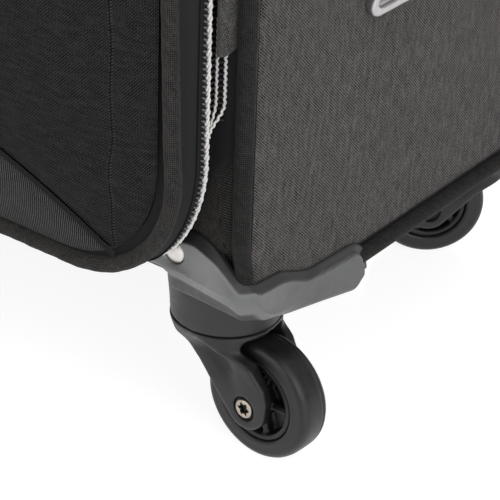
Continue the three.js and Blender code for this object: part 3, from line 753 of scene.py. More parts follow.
def add_zips():
    rope = zip_outline(13.8)
    count = round(rope.length / (2 * PITCH))
    pitch = rope.length / count
    s = np.linspace(0, rope.length, count * 12 + 1)[:-1]
    for name, body, y, phase, node in (("main_coil_case", "front_frame", -6.85, 0.0, "main_zip_base"),
                                       ("main_coil_lid", "lid", -7.25, math.pi, "main_zip_lid")):
        path = strand(rope, s, y, 0.42, phase, pitch)
        points, faces = tube_along(path, 0.56, 8, True)
        finish_piece(name, build(name, points, faces), COIL, body, "zip_coil", (node,))
    tape_case = np.array([(0.5, -6.3), (-0.6, -5.6), (-2.6, -4.6), (-5, -3.4), (-8, -2.8)])
    walk = rope.steps(0, rope.length, 3.0)
    finish_piece("zip_tape_case", sweep("zip_tape_case", rope, tape_case, walk, loop=True), TAPE,
                 "front_frame", "lining", ("expansion_frame",))
    tape_lid = np.array([(-0.3, -7.7), (-0.5, -8.6), (-0.7, -10.0), (-0.9, -11.6), (-0.4, -12.4),
                         (0.6, -12.9)])
    finish_piece("zip_tape_lid", sweep("zip_tape_lid", rope, tape_lid, walk, loop=True), TAPE, "lid",
                 "lining")
    ticks = np.arange(0, rope.length - 1, PITCH)
    place, normal = rope.at(ticks)
    parts = []
    steps = np.linspace(0, 1, 4)
    for p, m in zip(place, normal):
        n = -0.15 - 0.15 * steps
        t = np.array([-m[1], m[0]])
        path = np.stack([p[0] + m[0] * n + t[0] * (steps - 0.5), -7.9 - 1.9 * steps,
                         p[1] + m[1] * n + t[1] * (steps - 0.5)], -1)
        parts.append(tube_along(path, 0.58 - 0.34 * steps, 5))
    points, faces = merge(parts)
    finish_piece("zip_comb", build("zip_comb", points, faces), COMB, "lid", "zip_coil")

    # The expansion zip: two yarns with a black ladder between them, which run into the main zip low down.
    middle = zip_outline(11.9)
    low = middle.find(151)
    s = np.arange(low, middle.length - low, PITCH / 6)
    end = np.minimum(s - low, middle.length - low - s)
    spread = smooth(end / 13)
    turn = np.arange(len(s)) / 6 * 2 * math.pi
    place, normal = middle.at(s)
    for name, out, phase in (("expansion_coil_inner", -2.3, 0.0), ("expansion_coil_outer", 1.4, 1.0)):
        n = -1.9 + (out + 1.9) * spread + 0.22 * np.sin(turn + phase)
        y = -6.0 + 4.25 * spread + 0.1 * np.cos(turn)
        path = np.stack([place[:, 0] + normal[:, 0] * n, y, place[:, 1] + normal[:, 1] * n], -1)
        points, faces = tube_along(path, 0.54 - 0.06 * (1 - spread), 7)
        finish_piece(name, build(name, points, faces), COIL, "case", "zip_coil",
                     ("expansion_zip",) if out > 0 else ())
    s = np.arange(low + 6, middle.length - low - 6, PITCH)
    points, faces = teeth(middle, s, -2.0, 1.1, 0.34, (-1.75, -1.75), 0.7)
    finish_piece("expansion_rungs", build("expansion_rungs", points, faces), RUNG, "case", "zip_coil")
    points, faces = teeth(middle, s + PITCH / 2, -2.6, -1.9, 0.34, (-2.1, -5.6), 0.5)
    finish_piece("gusset_rungs", build("gusset_rungs", points, faces), RUNG, "front_frame", "zip_coil")


def add_gusset():
    """The folded strip that lets the front stand further out when the expansion zip is open."""
    rope = zip_outline(13.8)
    s = rope.steps(0, rope.length, 4.0)
    fold = np.array([(-1.2, -1.0), (-3.0, -1.3), (-8.0, -1.6), (-8.4, -2.1), (-3.4, -2.4), (-3.0, -3.0),
                     (-7.4, -3.3), (-7.9, -3.9), (-2.9, -4.3), (-1.0, -5.0)])
    mesh = sweep("expansion_gusset", rope, fold, s, loop=True)
    piece = finish_piece("expansion_gusset", mesh, TAPE, None, "lining")
    row((0, -1.0, 300))
    row((0, -5.0, 300))
    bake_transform(piece)

    # Cloth garage over the end of the expansion zip.
    line = zip_outline(11.0)
    for side in (1, -1):
        word = "right" if side > 0 else "left"
        low, high = line.find(182.5), line.find(266)
        s = np.concatenate([np.linspace(low, low + 6, 9), np.linspace(low + 6, high - 6, 26)[1:-1],
                            np.linspace(high - 6, high, 9)])
        end = np.minimum(s - low, high - s)
        shrink = np.sqrt(np.clip(1 - (1 - np.clip(end / 6, 0, 1)) ** 2, 0.0, 1))
        a = np.linspace(0, 1, 11)
        left, right = 0.1, 5.2
        width = right - left
        right_edge = right - (1 - shrink)[:, None] * 5.2
        n = left + (right_edge - left) * a[None, :]
        share = (n - left) / width
        y = -6.6 + 5.4 * share ** 1.2 - 1.7 * np.sin(share * math.pi) * (0.45 + 0.55 * shrink[:, None])
        ridge = 0.25 * np.sin(s * 0.55 + 1.0)[:, None] * np.sin(share * math.pi)
        ring = np.stack([n, y + ridge], -1)
        back = np.stack([n[:, ::-1], (y + ridge)[:, ::-1] + 0.8], -1)
        both_faces = np.concatenate([ring, back], 1)
        walk = s if side > 0 else line.length - s
        mesh = sweep("zip_garage_" + word, line, lambda _: both_faces, walk, tube=True, caps=True)
        finish_piece("zip_garage_" + word, mesh, GARAGE, "case", "dark_fabric")


# ---- lid ----
def lid_shift(z):
    """The corded edge leans in along the lid's sides and out along its bottom."""
    return np.interp(z, [99, 125, 155, 212, 540, 600], [2.6, 0.9, -1.0, -3.1, -3.1, -1.5])


def add_lid():
    rope = zip_outline(13.8)
    # The lid's own wall, from the zip tape forward to the corded edge.
    base = lid_outline(0)
    s = base.steps(0, base.length, 3.0)
    share = np.linspace(0, 1, 9)
    front = base.at(s)[0]
    zips = rope.at(np.interp(s, np.linspace(0, base.length, 401), matched(base, rope)))[0]
    points = front[:, None] * (1 - share)[None, :, None] + zips[:, None] * share[None, :, None]
    inward = base.at(s)[1][:, None] * (-0.9 - 0.8 * np.sin(share * math.pi))[None, :, None]
    points = points + inward * smooth((1 - share) / 0.3)[None, :, None]
    lean = base.at(s)[1] * lid_shift(front[:, 1])[:, None]
    points = points + lean[:, None] * (1 - share)[None, :, None]
    y = -26.0 + 13.6 * share
    points = np.stack([points[..., 0], np.broadcast_to(y, points.shape[:2]), points[..., 1]], -1)
    mesh = grid_mesh("lid_wall", points[:-1], s, share * 16, True)
    finish_piece("lid_wall", mesh, GUSSET, "lid", "lining", ("lid_gusset",))

    s = base.steps(0, base.length, 2.5)
    lumps = 0.08 * np.sin(s * 0.83) + 0.06 * np.sin(s * 0.37)
    z = base.at(s)[0][:, 1]
    lumps = lumps - 0.1 * smooth((z - 140) / 60)
    move = lid_shift(z)[:, None, None] * np.array([1.0, 0.0])
    ring = lambda _: circle(3.1, -27, 0, 18)[None] + lumps[:, None, None] * circle(1, 0, 0, 18)[None] + move
    mesh = sweep("lid_cord", base, ring, s, loop=True, tube=True)
    finish_piece("lid_cord", mesh, LID_PIPE, "lid", "piping_fabric", ("lid_piping",))
    flange = np.array([(0.5, -23.6), (-0.8, -24.8), (-3.0, -26.5), (-5.2, -26.2), (-7.0, -27.6)])
    mesh = sweep("lid_cord_seam", base, lambda _: flange[None] + move, s, loop=True)
    finish_piece("lid_cord_seam", mesh, TAPE, "lid", "piping_fabric")

    lining = lid_outline(5)
    s = lining.steps(0, lining.length, 6.0)
    middle = np.array([0.0, (98.8 + TOP - 12) / 2])
    rings = np.array([1.0, 0.93, 0.8, 0.6, 0.4, 0.2, 0.0005])
    edge = lining.at(s)[0]
    points = middle + (edge - middle)[:, None] * rings[None, :, None]
    y = np.array([-12.0, -21.0, -23.0, -23.4, -23.6, -23.6, -23.6])
    points = np.stack([points[..., 0], np.broadcast_to(y, points.shape[:2]), points[..., 1]], -1)
    mesh = grid_mesh("lid_lining", points[:-1], s, rings[::-1] * 200, True)
    finish_piece("lid_lining", mesh, LINING, "lid", "lining", ("lid_panel",))

    # The cloth hinge down the left side, between the frame and the lid.
    low, high = rope.find(160, False), rope.find(560, False)
    s = np.linspace(high, low, 60)
    hinge = np.array([(-4.0, -4.6), (-1.2, -5.6), (0.2, -7.2), (0.2, -9.0), (-1.0, -11.6), (-3.0, -13.0)])
    mesh = sweep("lid_hinge_cloth", rope, hinge, s)
    piece = finish_piece("lid_hinge_cloth", mesh, TAPE, None, "lining")
    hinge_x = -HALF + 15
    row((hinge_x, -5.0, 300))
    row((hinge_x, -11.5, 300))
    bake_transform(piece)


SEAM_SIDE, SEAM_LOW, SEAM_RISE = 178.0, 105.7, 43.0
PAD_LOW, PAD_RADIUS = 100.4, 44.0


def seam_height(x):
    """Height of the arched seam between the pocket and the ribbed yoke below it."""
    arch = (SEAM_SIDE ** 2 + SEAM_RISE ** 2) / (2 * SEAM_RISE)
    inside = np.sqrt(arch ** 2 - np.clip(np.abs(x), 0, SEAM_SIDE) ** 2) - arch + SEAM_RISE + SEAM_LOW
    return np.where(np.abs(x) <= SEAM_SIDE, inside, SEAM_LOW + (np.abs(x) - SEAM_SIDE) / 18.3 * 28)


def rounded_end(x, edge, radius, side):
    """Distance from the straight edge to the outline at x, where the corner of this radius curves away."""
    past = np.clip(np.abs(x) - (side - radius), 0, radius)
    return edge + radius - np.sqrt(np.clip(radius ** 2 - past ** 2, 0, None))


def pad(name, x, low, high, rows, front, material, rise, cap, replaces=()):
    """A stuffed front panel: one sheet held at its edge and blown up by a short cloth simulation."""
    share = np.linspace(0, 1, rows)
    share = share + 0.035 * -np.sin(share * 2 * math.pi)
    z = low[:, None] + (high - low)[:, None] * share[None, :]
    grid = np.stack(np.broadcast_arrays(x[:, None], 0.0, z), -1)
    cols = len(x)
    edge = np.zeros((cols, rows), bool)
    edge[[0, -1]] = True
    edge[:, [0, -1]] = True
    near = np.minimum(np.minimum(x - x[0], x[-1] - x)[:, None],
                      np.minimum(z - low[:, None], high[:, None] - z))
    start = rise * (1 - np.exp(-near / 7.0))
    sheet = grid.copy()
    sheet[..., 1] = front + 2.2 - start
    piece_mesh = grid_mesh(name, sheet, x, share * (high - low).max())
    flat = np.zeros((len(piece_mesh.loops), 3), np.float32)
    index = np.array([l.vertex_index for l in piece_mesh.loops])
    flat[:, 0] = np.broadcast_to(x[:, None], z.shape).ravel()[index]
    flat[:, 1] = z.ravel()[index]
    piece_mesh.attributes["weave"].data.foreach_set("vector", flat.ravel())
    piece = bpy.data.objects.new(name, piece_mesh)
    bpy.context.scene.collection.objects.link(piece)
    held = piece.vertex_groups.new(name="held")
    held.add([int(i) for i in np.flatnonzero(edge.ravel())], 1.0, "REPLACE")
    cloth = piece.modifiers.new("cloth", "CLOTH")
    cloth.settings.quality = 6
    cloth.settings.mass = 0.3
    cloth.settings.tension_stiffness = cloth.settings.compression_stiffness = 40
    cloth.settings.bending_stiffness = 2.0
    cloth.settings.use_pressure = True
    cloth.settings.uniform_pressure_force = 4.0
    cloth.settings.shrink_min = -0.012
    cloth.settings.effector_weights.gravity = 0.0
    cloth.settings.vertex_group_mass = "held"
    for moment in range(1, 21):
        bpy.context.scene.frame_set(moment)
    done = piece.evaluated_get(bpy.context.evaluated_depsgraph_get())
    swollen = np.array([v.co for v in done.data.vertices])
    rest = np.array([v.co for v in piece_mesh.vertices])
    piece.modifiers.clear()
    move = swollen - rest
    far = np.linalg.norm(move, axis=1)
    limit = cap / 1000 * (1 - np.exp(-near.ravel() / 16.0)) + 1e-5
    move *= (limit * np.tanh(far / limit) / np.maximum(far, 1e-9))[:, None]
    move[:, 1] = -np.abs(move[:, 1])
    piece_mesh.vertices.foreach_set("co", (rest + move).astype(np.float32).ravel())
    piece_mesh.update()
    bpy.context.scene.frame_set(1)
    smoother = piece.modifiers.new("subdivision", "SUBSURF")
    smoother.levels = smoother.render_levels = 1
    piece_mesh.materials.append(material)
    piece_mesh.polygons.foreach_set("use_smooth", [True] * len(piece_mesh.polygons))
    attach(piece, "lid")
    if replaces:
        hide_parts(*replaces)
    return piece


def columns(side, gap, extra=()):
    """Places across a panel, closer together near its rounded ends."""
    inner = np.linspace(-(side - 46), side - 46, int(2 * (side - 46) / gap) + 1)
    curve = side - 46 + 46 * np.sin(np.radians(np.linspace(0, 90, 13)))[1:]
    return np.unique(np.round(np.concatenate([-curve, inner, curve, extra]), 3))


def add_pads():
    side, top = HALF - 12 - 6.4, TOP - 12 - 6.4
    x = columns(side, 8.0, (-SEAM_SIDE, SEAM_SIDE))
    radius = 46 - 6.4
    high = top - (rounded_end(x, 0, radius, side))
    arc = PAD_LOW + rounded_end(x, 0, PAD_RADIUS, side)
    low = np.where(np.abs(x) < SEAM_SIDE, seam_height(x) + 0.9, arc)
    pad("pocket_pad", x, low, high, 66, -30.6, FRONT, 1.8, 5.0, ("front_pocket",))
    x = x[np.abs(x) <= SEAM_SIDE]
    low = PAD_LOW + rounded_end(x, 0, PAD_RADIUS, side) - 0.6
    upper = np.maximum(seam_height(x) - 0.9, low + 0.4)
    pad("yoke_pad", x, low, upper, 12, -29.6, YOKE, 1.2, 2.0)
    x = np.linspace(-SEAM_SIDE, SEAM_SIDE, 240)
    z = seam_height(x)
    path = np.stack([x, np.full(240, -29.9), z], -1)
    a = np.array([(-1.2, 0.5), (-0.4, 1.3), (0.4, 1.3), (1.2, 0.5)])
    points = path[:, None] + np.stack([0 * a[:, 0], a[:, 1], a[:, 0]], -1)[None]
    mesh = grid_mesh("pocket_seam", points, x, np.arange(4) * 0.8)
    finish_piece("pocket_seam", mesh, TAPE, "lid", "lining")

    # The pocket's zip runs straight across near the top.
    x = np.linspace(-150, 150, 60)
    tape_y = np.array([(-6.0, -34.2), (-5.4, -35.2), (-2.0, -35.5), (2.0, -35.5), (5.4, -35.2), (6.0, -34.2)])
    points = np.stack(np.broadcast_arrays(
        x[:, None], tape_y[None, :, 1], 560 + tape_y[None, :, 0]), -1)
    finish_piece("pocket_zip_tape", grid_mesh("pocket_zip_tape", points, x, np.arange(6) * 2.4), TAPE,
                 "lid", "zip_coil")
    x = np.arange(-148, 148, PITCH / 6)
    parts = []
    for phase in (0.0, math.pi):
        a = x / (2 * PITCH) * 2 * math.pi + phase
        parts.append(tube_along(np.stack([x, -36.0 + 0.5 * np.sin(a), 560 + 0.5 * np.cos(a)], -1), 0.72, 7))
    points, faces = merge(parts)
    finish_piece("pocket_coil", build("pocket_coil", points, faces), COIL, "lid", "zip_coil")


# ---- corner housings, in the front right corner's own place: x = y = 0 is the case's edge ----
LIP = ([-46, -31, -26, -21, -15, -9, -3, 0, 5, 20, 31, 37, 65, 69, 73, 75, 75.5],
       [91, 104, 108, 108.5, 106.5, 102.5, 96, 94.5, 93, 91.5, 86.5, 84.5, 83, 81.5, 77.5, 73.5, 66])
CREASE = ([-46, -36, -26, -20, -10, 0, 3, 16, 21, 32, 49, 65, 67, 69, 72],
          [89, 95, 104, 104.5, 100.5, 92, 90, 89, 87.5, 82.5, 81, 80, 78, 75.5, 60])
RIDGE = ([-46, -27, -16, -3, 0, 5, 11, 20, 40, 65, 70],
         [90.5, 90.5, 89, 87.5, 85, 80, 76.5, 73.5, 69, 63, 67])


def eased(table, width=1.6):
    """A profile with its corners rounded, sampled finely."""
    s = np.arange(-60, 90, 0.25)
    z = np.interp(s, *table)
    kernel = np.exp(-0.5 * (np.arange(-16, 17) * 0.25 / width) ** 2)
    padded = np.concatenate([np.full(16, z[0]), z, np.full(16, z[-1])])
    return s, np.convolve(padded, kernel / kernel.sum(), "valid")


LIP_LINE, CREASE_LINE, RIDGE_LINE = eased(LIP, 1.2), eased(CREASE, 1.3), eased(RIDGE, 1.3)


def wrap_place(x, y):
    """Distance outside the case's corner, and distance round it (front wing negative)."""
    qx, qy = x + 3.0, 3.0 - y
    out = np.hypot(np.maximum(qx, 0), np.maximum(qy, 0)) + np.minimum(np.maximum(qx, qy), 0) - 3.0
    return out, np.maximum(y, 0) + np.minimum(x, 0)


def housing_field(x, y, z):
    out, s = wrap_place(x, y)
    lip, crease, ridge = (np.interp(s, *line) for line in (LIP_LINE, CREASE_LINE, RIDGE_LINE))
    band = np.clip((z - crease) / (lip - crease), 0, 1)
    pad_share = smooth((s - 35) / 9)
    face = 5.0 - (1 - pad_share) * 2.8 * smooth(band) - pad_share * (
        1.3 * np.clip((z - crease) / 0.5, 0, 1) + 1.5 * band)
    side_share = smooth((s + 2) / 14)
    face = face - side_share * 1.2 * np.clip((ridge + 1.7 - z) / 1.7, 0, 1.5)
    slope = 0.35 * smooth((s - 4) / 16)
    wing = both(both(out - face, (z - lip) * 0.8, 0.7), ridge + slope * (5 - out) - z, 0.8)
    wing = both(wing, -14 - out)
    wing = both(wing, s - 75.2, 0.8)

    radius = np.interp(z, [54.5, 62, 69, 78, 92], [21.6, 22.0, 22.7, 23.5, 24.5])
    away = np.hypot(x + SWIVEL, y - SWIVEL)
    boss = both(both(away - radius, SEAM_Z - z, 0.6), z - 84)
    skirt = both(out - (5.0 - 0.45 * (ridge - z)), 79.0 - z, 2.0)
    skirt = both(skirt, z - ridge - 1.5)
    skirt = both(skirt, (-32.0 - 0.75 * (y + 5) - x) * 0.8, 3.0)
    skirt = both(both(skirt, s - 52, 4.0), away - 52, 4.0)
    core = either(boss, skirt, 7.0)
    body = either(wing, core, 4.0)
    under = BOTTOM - 0.4 + bottom_rise(y)
    body = both(body, -both(out - 0.2, under - z))
    rivet = np.hypot(x + 29.5, z - 98.5)
    body = both(body, -both(rivet - 4.7, out * 0 + y + 3.2), 0.4)
    pin = both(away - 4.7, z - 70)
    return both(body, -pin)


def housing_painted_shade(x, y, z):
    """Painted shade: 1 on the lip above the crease, which the lid shades, fading to a painted mid grey along
    the side wing, and 0.93 on the boss below the ridge.
    """
    out, s = wrap_place(x, y)
    crease = np.interp(s, *CREASE_LINE)
    on = smooth((z - crease + 0.2) / 0.9) * (out > 0.5)
    lip = on * (0.86 + 0.14 * (1 - smooth((s + 9) / 9)))
    wing = 0.3 * smooth((s + 14) / 12) + 0.26 * smooth((s - 4) / 30)
    ridge = np.interp(s, *RIDGE_LINE)
    return np.maximum(np.maximum(lip, wing), 0.93 * smooth((ridge + 0.2 - z) / 3.2))


def corner_place(side, back):
    return (side, -1 if back else 1, 1), (side * HALF, DEPTH if back else 0.0, 0.0)


def add_housings():
    low, high, step = (-64, -7, 52), (7, 78, 111), 0.6
    for name, (side, back, _) in CASTERS.items():
        flip, shift = corner_place(side, back)
        solid("housing_" + name, housing_field, low, high, step if (side, back) == (1, False) else 0.8,
              HOUSING, "case", "housing_plastic", ("corner_housing_" + name,), housing_painted_shade,
              flip=flip, shift=shift)
        r = np.linspace(0.05, 1, 9)
        head = [(4.45 * a, 1.15 * math.sqrt(1 - (0.93 * a) ** 2)) for a in r]
        points, faces = lathe([(3.9, -2.4)] + [(4.4, -0.4)] + head[::-1], 40)
        points = points[:, [0, 2, 1]] * (1, -1, 1) + (-29.5, -3.6, 98.5)
        shell("rivet_" + name, points, faces, SILVER, "case", "screw_metal", flip=flip, shift=shift)


# ---- casters, with the swivel axis at the origin and the wheel trailing along +X ----
ARM_END = (22.5, 25.5, 9.5)  # middle and radius of the round end about the axle
ARM_FRONT = [(-17, 54), (-13, 52), (-8, 46), (6.5, 29)]
ARM_BACK = [(32.5, 30.5), (31, 36), (26.5, 41.5), (23, 47.5), (21, 52), (21, 54)]


def arm_outline():
    """A fork arm seen from the side: a straight front, a round end and a shaped back."""
    x, z, radius = ARM_END
    turns = np.radians(np.linspace(-142, -12, 12))
    end = [(x + radius * math.cos(a), z + radius * math.sin(a)) for a in turns]
    return ARM_FRONT + end + ARM_BACK


def fork_outer(z):
    return 14.6 + 1.2 * smooth((z - 36) / 12) + 5.0 * smooth((z - 43) / 11)


def fork_painted_shade(_, y, z):
    """Painted shade: 1 on the faces between the arms and along their edges, which stay in the dark."""
    return smooth((fork_outer(z) - 0.9 - np.abs(y)) / 1.2) * smooth((48.0 - z) / 2.5)


def fork_field(x, y, z):
    outer = fork_outer(z)
    shape = polygon(x + 2.6 * (y > 0) * smooth((z - 32) / 10) + 0.0 * y, z + 0.0 * y, arm_outline())
    arms = both(shape, np.abs(y) - outer, 1.5)
    arms = both(arms, np.hypot(x, y) - np.interp(z, [38, 44, 48.5], [42, 28, 21.4]), 2.0)
    cone = np.interp(z, [45.5, 49.4, 52.5, 54.2], [14.0, 17.4, 20.4, 21.4])
    top = np.hypot(x, y) - cone - (21.4 - cone) * smooth((x + 2) / 10)
    crown = both(both(top, 46.5 - z, 1.0), z - 54.2, 0.5)
    body = either(arms, crown, 3.0)
    body = both(body, z - 54.2)
    wheel = np.hypot(x - TRAIL, z - WHEEL_R)
    room = both(wheel - 27.2, np.abs(y) - 9.0 - 2.8 * smooth((z - 44) / 4), 3.0)
    below = both(both(z - WHEEL_R, np.abs(y) - 9.0), 4 - x)
    body = both(body, -either(room, below), 1.0)
    along = ((x - 8.5) * 0.66 - (z - 41) * 0.75) / 12.0
    across = ((x - 8.5) * 0.75 + (z - 41) * 0.66) / 6.2
    dish = np.sqrt(along ** 2 + across ** 2 + ((np.abs(y) - outer - 1.2) / 3.4) ** 2) - 1
    body = both(body, -dish * 3.0, 1.6)
    recess = both(wheel - 5.1, 12.6 - np.abs(y))
    body = both(body, -recess, 0.5)
    return both(body, -both(np.hypot(x, y) - 4.4, 48.5 - z))


def hub_field(x, y, z):
    r = np.hypot(x, z)
    rim = both(both(r - 16.75, 14.4 - r, 0.6), np.abs(y) - 6.9, 0.8)
    boss = both(both(r - 6.6, np.abs(y) - 7.2, 0.8), 3.2 - r)
    web = both(both(r - 15.5, np.abs(y) - 1.3), 3.2 - r)
    fan = both(r - 16, 3.2 - r)
    angle = np.arctan2(z, x)
    turn = (angle + math.pi / 5) % (2 * math.pi / 5) - math.pi / 5
    spoke = both(both(np.abs(np.sin(turn) * r) - 1.5, np.abs(y) - 5.6, 1.0), fan)
    return either(either(rim, boss, 1.0), either(web, spoke, 1.5), 1.2)


def add_casters():
    half = WHEEL_W / 2
    profile = []
    for r, n in [(17.0, -half + 1.0), (17.6, -half + 0.45), (18.6, -half + 0.2), (19.2, -half + 0.55),
                 (21.4, -half + 0.3), (22.8, -half + 0.55), (23.9, -half + 1.4), (24.6, -half + 2.6),
                 (24.93, -half + 4.2), (25.0, -1.6), (25.0, 0.0), (25.0, 2.6), (24.96, 3.5), (24.72, 3.7),
                 (24.72, 3.95), (24.92, 4.15), (24.6, half - 2.4), (23.9, half - 1.4), (22.8, half - 0.55),
                 (21.4, half - 0.3), (19.2, half - 0.55), (18.6, half - 0.2), (17.6, half - 0.45),
                 (17.0, half - 1.0), (17.0, 0.0), (17.0, -half + 1.0)]:
        profile.append((r, n))
    for name, (side, back, trail) in CASTERS.items():
        a = math.radians(trail)
        turn = Matrix.Rotation(a, 3, "Z")
        shift = (side * (HALF - SWIVEL), DEPTH - SWIVEL if back else SWIVEL, 0.0)
        place = dict(turn=turn, shift=shift)
        solid("fork_" + name, fork_field, (-23, -22.5, 12), (37, 22.5, 56), 0.6, FORK,
              "caster_" + name, "caster_plastic", ("fork_" + name,), fork_painted_shade, **place)
        axle = np.array(shift) + np.array(turn) @ np.array([TRAIL, 0, WHEEL_R])
        points, faces = lathe(profile[:-1], 96)
        n = len(profile) - 1
        faces = faces[:-2] + [[(n - 1) * 96 + j, j, (j + 1) % 96, (n - 1) * 96 + (j + 1) % 96]
                              for j in range(96)]
        points = points[:, [0, 2, 1]]
        shell("tyre_" + name, points, faces, TYRE, "wheel_" + name, "tyre", ("tyre_" + name,),
              turn=turn, shift=axle)
        solid("hub_" + name, hub_field, (-18, -8, -18), (18, 8, 18), 0.6, HUB, "wheel_" + name,
              "caster_plastic", ("hub_" + name,), turn=turn, shift=axle, relax=1)

        def screw_field(x, y, z):
            r = np.hypot(x, z)
            head = both(both(r - 4.1, -14.5 - y, 0.9), y + 12.9)
            a6 = np.arctan2(z, x)
            star = r - (2.3 + 0.5 * np.cos(6 * a6))
            head = both(head, -both(star, y + 10.4), 0.2)
            shaft = both(r - 3.0, np.abs(y) - 10.6)
            return either(head, shaft)

        solid("screw_" + name, screw_field, (-6, -15.4, -6), (6, 15, 6), 0.3, SCREW,
              "caster_" + name, "screw_metal", ("axle_screw_" + name,), turn=turn, shift=axle, relax=1)
        pin = [(0.1, 46.6), (3.4, 46.6), (4.0, 47.2), (4.0, 70.0), (3.4, 70.5), (0.1, 70.5)]
        points, faces = lathe(pin, 24)
        shell("pin_" + name, points, faces, STEEL, "case", "screw_metal", ("swivel_pin_" + name,),
              **place)


# ---- handles: local x along the handle, y across it, z away from the case ----
def anchor_field(length, width):
    def field(x, y, z):
        # x = 0 is the outer end; the strap comes out at +x.
        rise = 3.2 + 8.6 * smooth(x / 30) - 3.4 * smooth((x - 33) / 8)
        body = block(x, y, z, (length / 2, 0, 0), (length / 2, width / 2, 40), 6.5)
        rim = both(both(body, z - rise, 1.6), -0.1 - z)
        inner = block(x, y, z, (length / 2 + 0.6, 0, 0), (length / 2 - 3.2, width / 2 - 2.8, 40), 4.5)
        groove = both(inner, rise - 2.0 - z)
        rim = both(rim, -groove, 0.3)
        plate = block(x, y, z, (length / 2 + 1.6, 0, 0), (length / 2 - 5.2, width / 2 - 4.6, 40), 3.4)
        plate = both(both(plate, z - rise - 0.3 + 0.012 * (y / 4) ** 2, 1.3), -0.1 - z)
        body = either(rim, plate)
        slot = block(x, y, z, (30.4, 0, 20), (4.0, width / 2 - 5.2, 18), 0.4)
        return both(body, -slot, 0.8)
    return field


def add_handle(name, half, width, turn, shift, nodes, body):
    count, reach = 60, half - 17.6
    x = np.linspace(-reach, reach, count)
    end = np.minimum(x + reach, reach - x)
    rise = 7.0 + 11.2 * smooth(end / 26) + 0.8 * np.sin((x + reach) / (2 * reach) * math.pi)
    wide = width / 2 - 5.6
    a = np.linspace(0, 2 * math.pi, 25)[:-1]
    power = lambda v, p: np.sign(v) * np.abs(v) ** p
    grip = smooth((half * 0.45 - np.abs(x)) / 18)
    thick = 1.7 + 1.6 * grip
    ring = np.stack(np.broadcast_arrays(
        x[:, None], (wide - 2.0 * grip)[:, None] * power(np.cos(a), 0.45)[None],
        rise[:, None] + thick[:, None] * power(np.sin(a), 0.6)[None]), -1)
    first = ring[:1] + np.array([0.0, 0.0, -4.5])
    ring = np.concatenate([first, ring, ring[-1:] + np.array([0.0, 0.0, -4.5])])
    walk = np.concatenate([[x[0] - 4.5], x, [x[-1] + 4.5]])
    across = np.linspace(0, 2 * width, 25)
    points = ring.reshape(-1, 3) @ np.array(turn).T + np.asarray(shift)
    mesh = grid_mesh(name + "_strap", points.reshape(ring.shape), walk, across, False, True, True)
    finish_piece(name + "_strap", mesh, WEBBING, body, "handle_fabric", nodes[:1])
    parts = []
    for lane in (-1, 1):
        path = np.stack([x[3:-3], np.full(count - 6, lane * (wide - 4.0)), (rise + thick * 0.97)[3:-3]], -1)
        parts.append(stitches(path, (0, 0, 1.0), 2.8, 1.2, 0.28))
    points, faces = merge(parts)
    shell(name + "_stitches", points, faces, STITCH, body, "handle_fabric", turn=turn, shift=shift)
    for side, node in ((1, nodes[1]), (-1, nodes[2])):
        points_shift = np.array(turn) @ np.array([side * half, 0, 0.1]) + np.asarray(shift)
        local = np.array(turn) @ np.diag([-side, 1, 1])
        solid(node.replace("handle_anchor", "anchor"), anchor_field(40.0, width), (-1, -width / 2 - 1, -1),
              (41, width / 2 + 1, 15), 0.6, CHROME, "case", "anchor_chrome", (node,),
              turn=local, shift=points_shift, relax=1)


def add_handles():
    flat = np.eye(3)
    add_handle("top_handle", 118.0, 40.0, flat, (0, 112, TOP + 2.2), (
        "top_handle", "top_handle_anchor_right", "top_handle_anchor_left"), "top_handle")
    # The side handle lies along z: its local +x end is the lower one.
    aside = np.array(Matrix.Rotation(math.radians(90), 3, "Y"))
    add_handle("side_handle", 135.0, 46.0, aside, (HALF + 1.6, 86, 311.5), (
        "side_handle", "side_handle_anchor_lower", "side_handle_anchor_upper"), "side_handle")


# ---- trolley ----
def add_trolley():
    low, top = 637.2, 670.0

    def grip_field(x, y, z):
        outer = block(x, y, z, (0, 0, (low + top) / 2), (118, 11, (top - low) / 2), 6.5)
        cut = block(x, y, z, (0, 0, low + 4), (82, 30, 14.0), 6)
        finger = 0.8 * np.cos(x / 19 * 2 * math.pi) * (np.abs(x) < 76)
        body = both(outer, -(cut + 0.35 * finger), 3.5)
        well = block(x, y, z, (0, 0, top), (17.4, 6.4, 6.8), 1.5)
        line = np.abs(np.abs(y) - 7.6) - 0.35
        groove = both(both(line, np.abs(x) - 108), top - 0.9 - z)
        return both(both(body, -well, 0.6), -groove, 0.4)

    solid("trolley_hand_grip", grip_field, (-119, -12, low - 1), (119, 12, top + 1), 0.9, GRIP, "trolley",
          "grip_plastic", ("trolley_grip",), shift=(0, TUBE_Y, 0))

    def button_field(x, y, z):
        body = block(x, y, z, (0, 0, top - 1.3), (16.9, 5.9, 2.3), 1.6)
        dots = np.abs((x / 4.4) - np.round(x / 4.4)) * 4.4 - 0.6
        return both(body, -both(both(dots, np.abs(y) - 3.6), top + 0.5 - z), 0.3)

    solid("trolley_release", button_field, (-18, -7, top - 5), (18, 7, top + 2), 0.5, CASTER,
          "trolley_button", "caster_plastic", ("trolley_button",), shift=(0, TUBE_Y, 0))

    def bezel_field(x, y, z):
        body = block(x, y, z, (0, 0, 633.4), (129, 15, 3.1), 2.4)
        body = either(body, block(x, y, z, (0, 0, 630), (131, 16.5, 3.0), 1.2), 0.8)
        well = block(x, y, z, (0, 0, 637.4), (84, 8.5, 2.2), 3)
        for side in (1, -1):
            body = both(body, -block(x, y, z, (side * TUBE_X, 0, 636), (12.7, 7.2, 30), 3.5), 0.5)
        return both(body, -well, 0.6)

    solid("trolley_plate", bezel_field, (-132, -18, 625.5), (132, 18, 638), 0.9, CASTER, "case",
          "caster_plastic", ("trolley_bezel",), shift=(0, TUBE_Y, 0))
    for word in ("right", "left"):
        for kind in ("outer", "inner"):
            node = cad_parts[f"trolley_{kind}_tube_{word}"]
            node.data.materials.clear()
            node.data.materials.append(ANODISED)


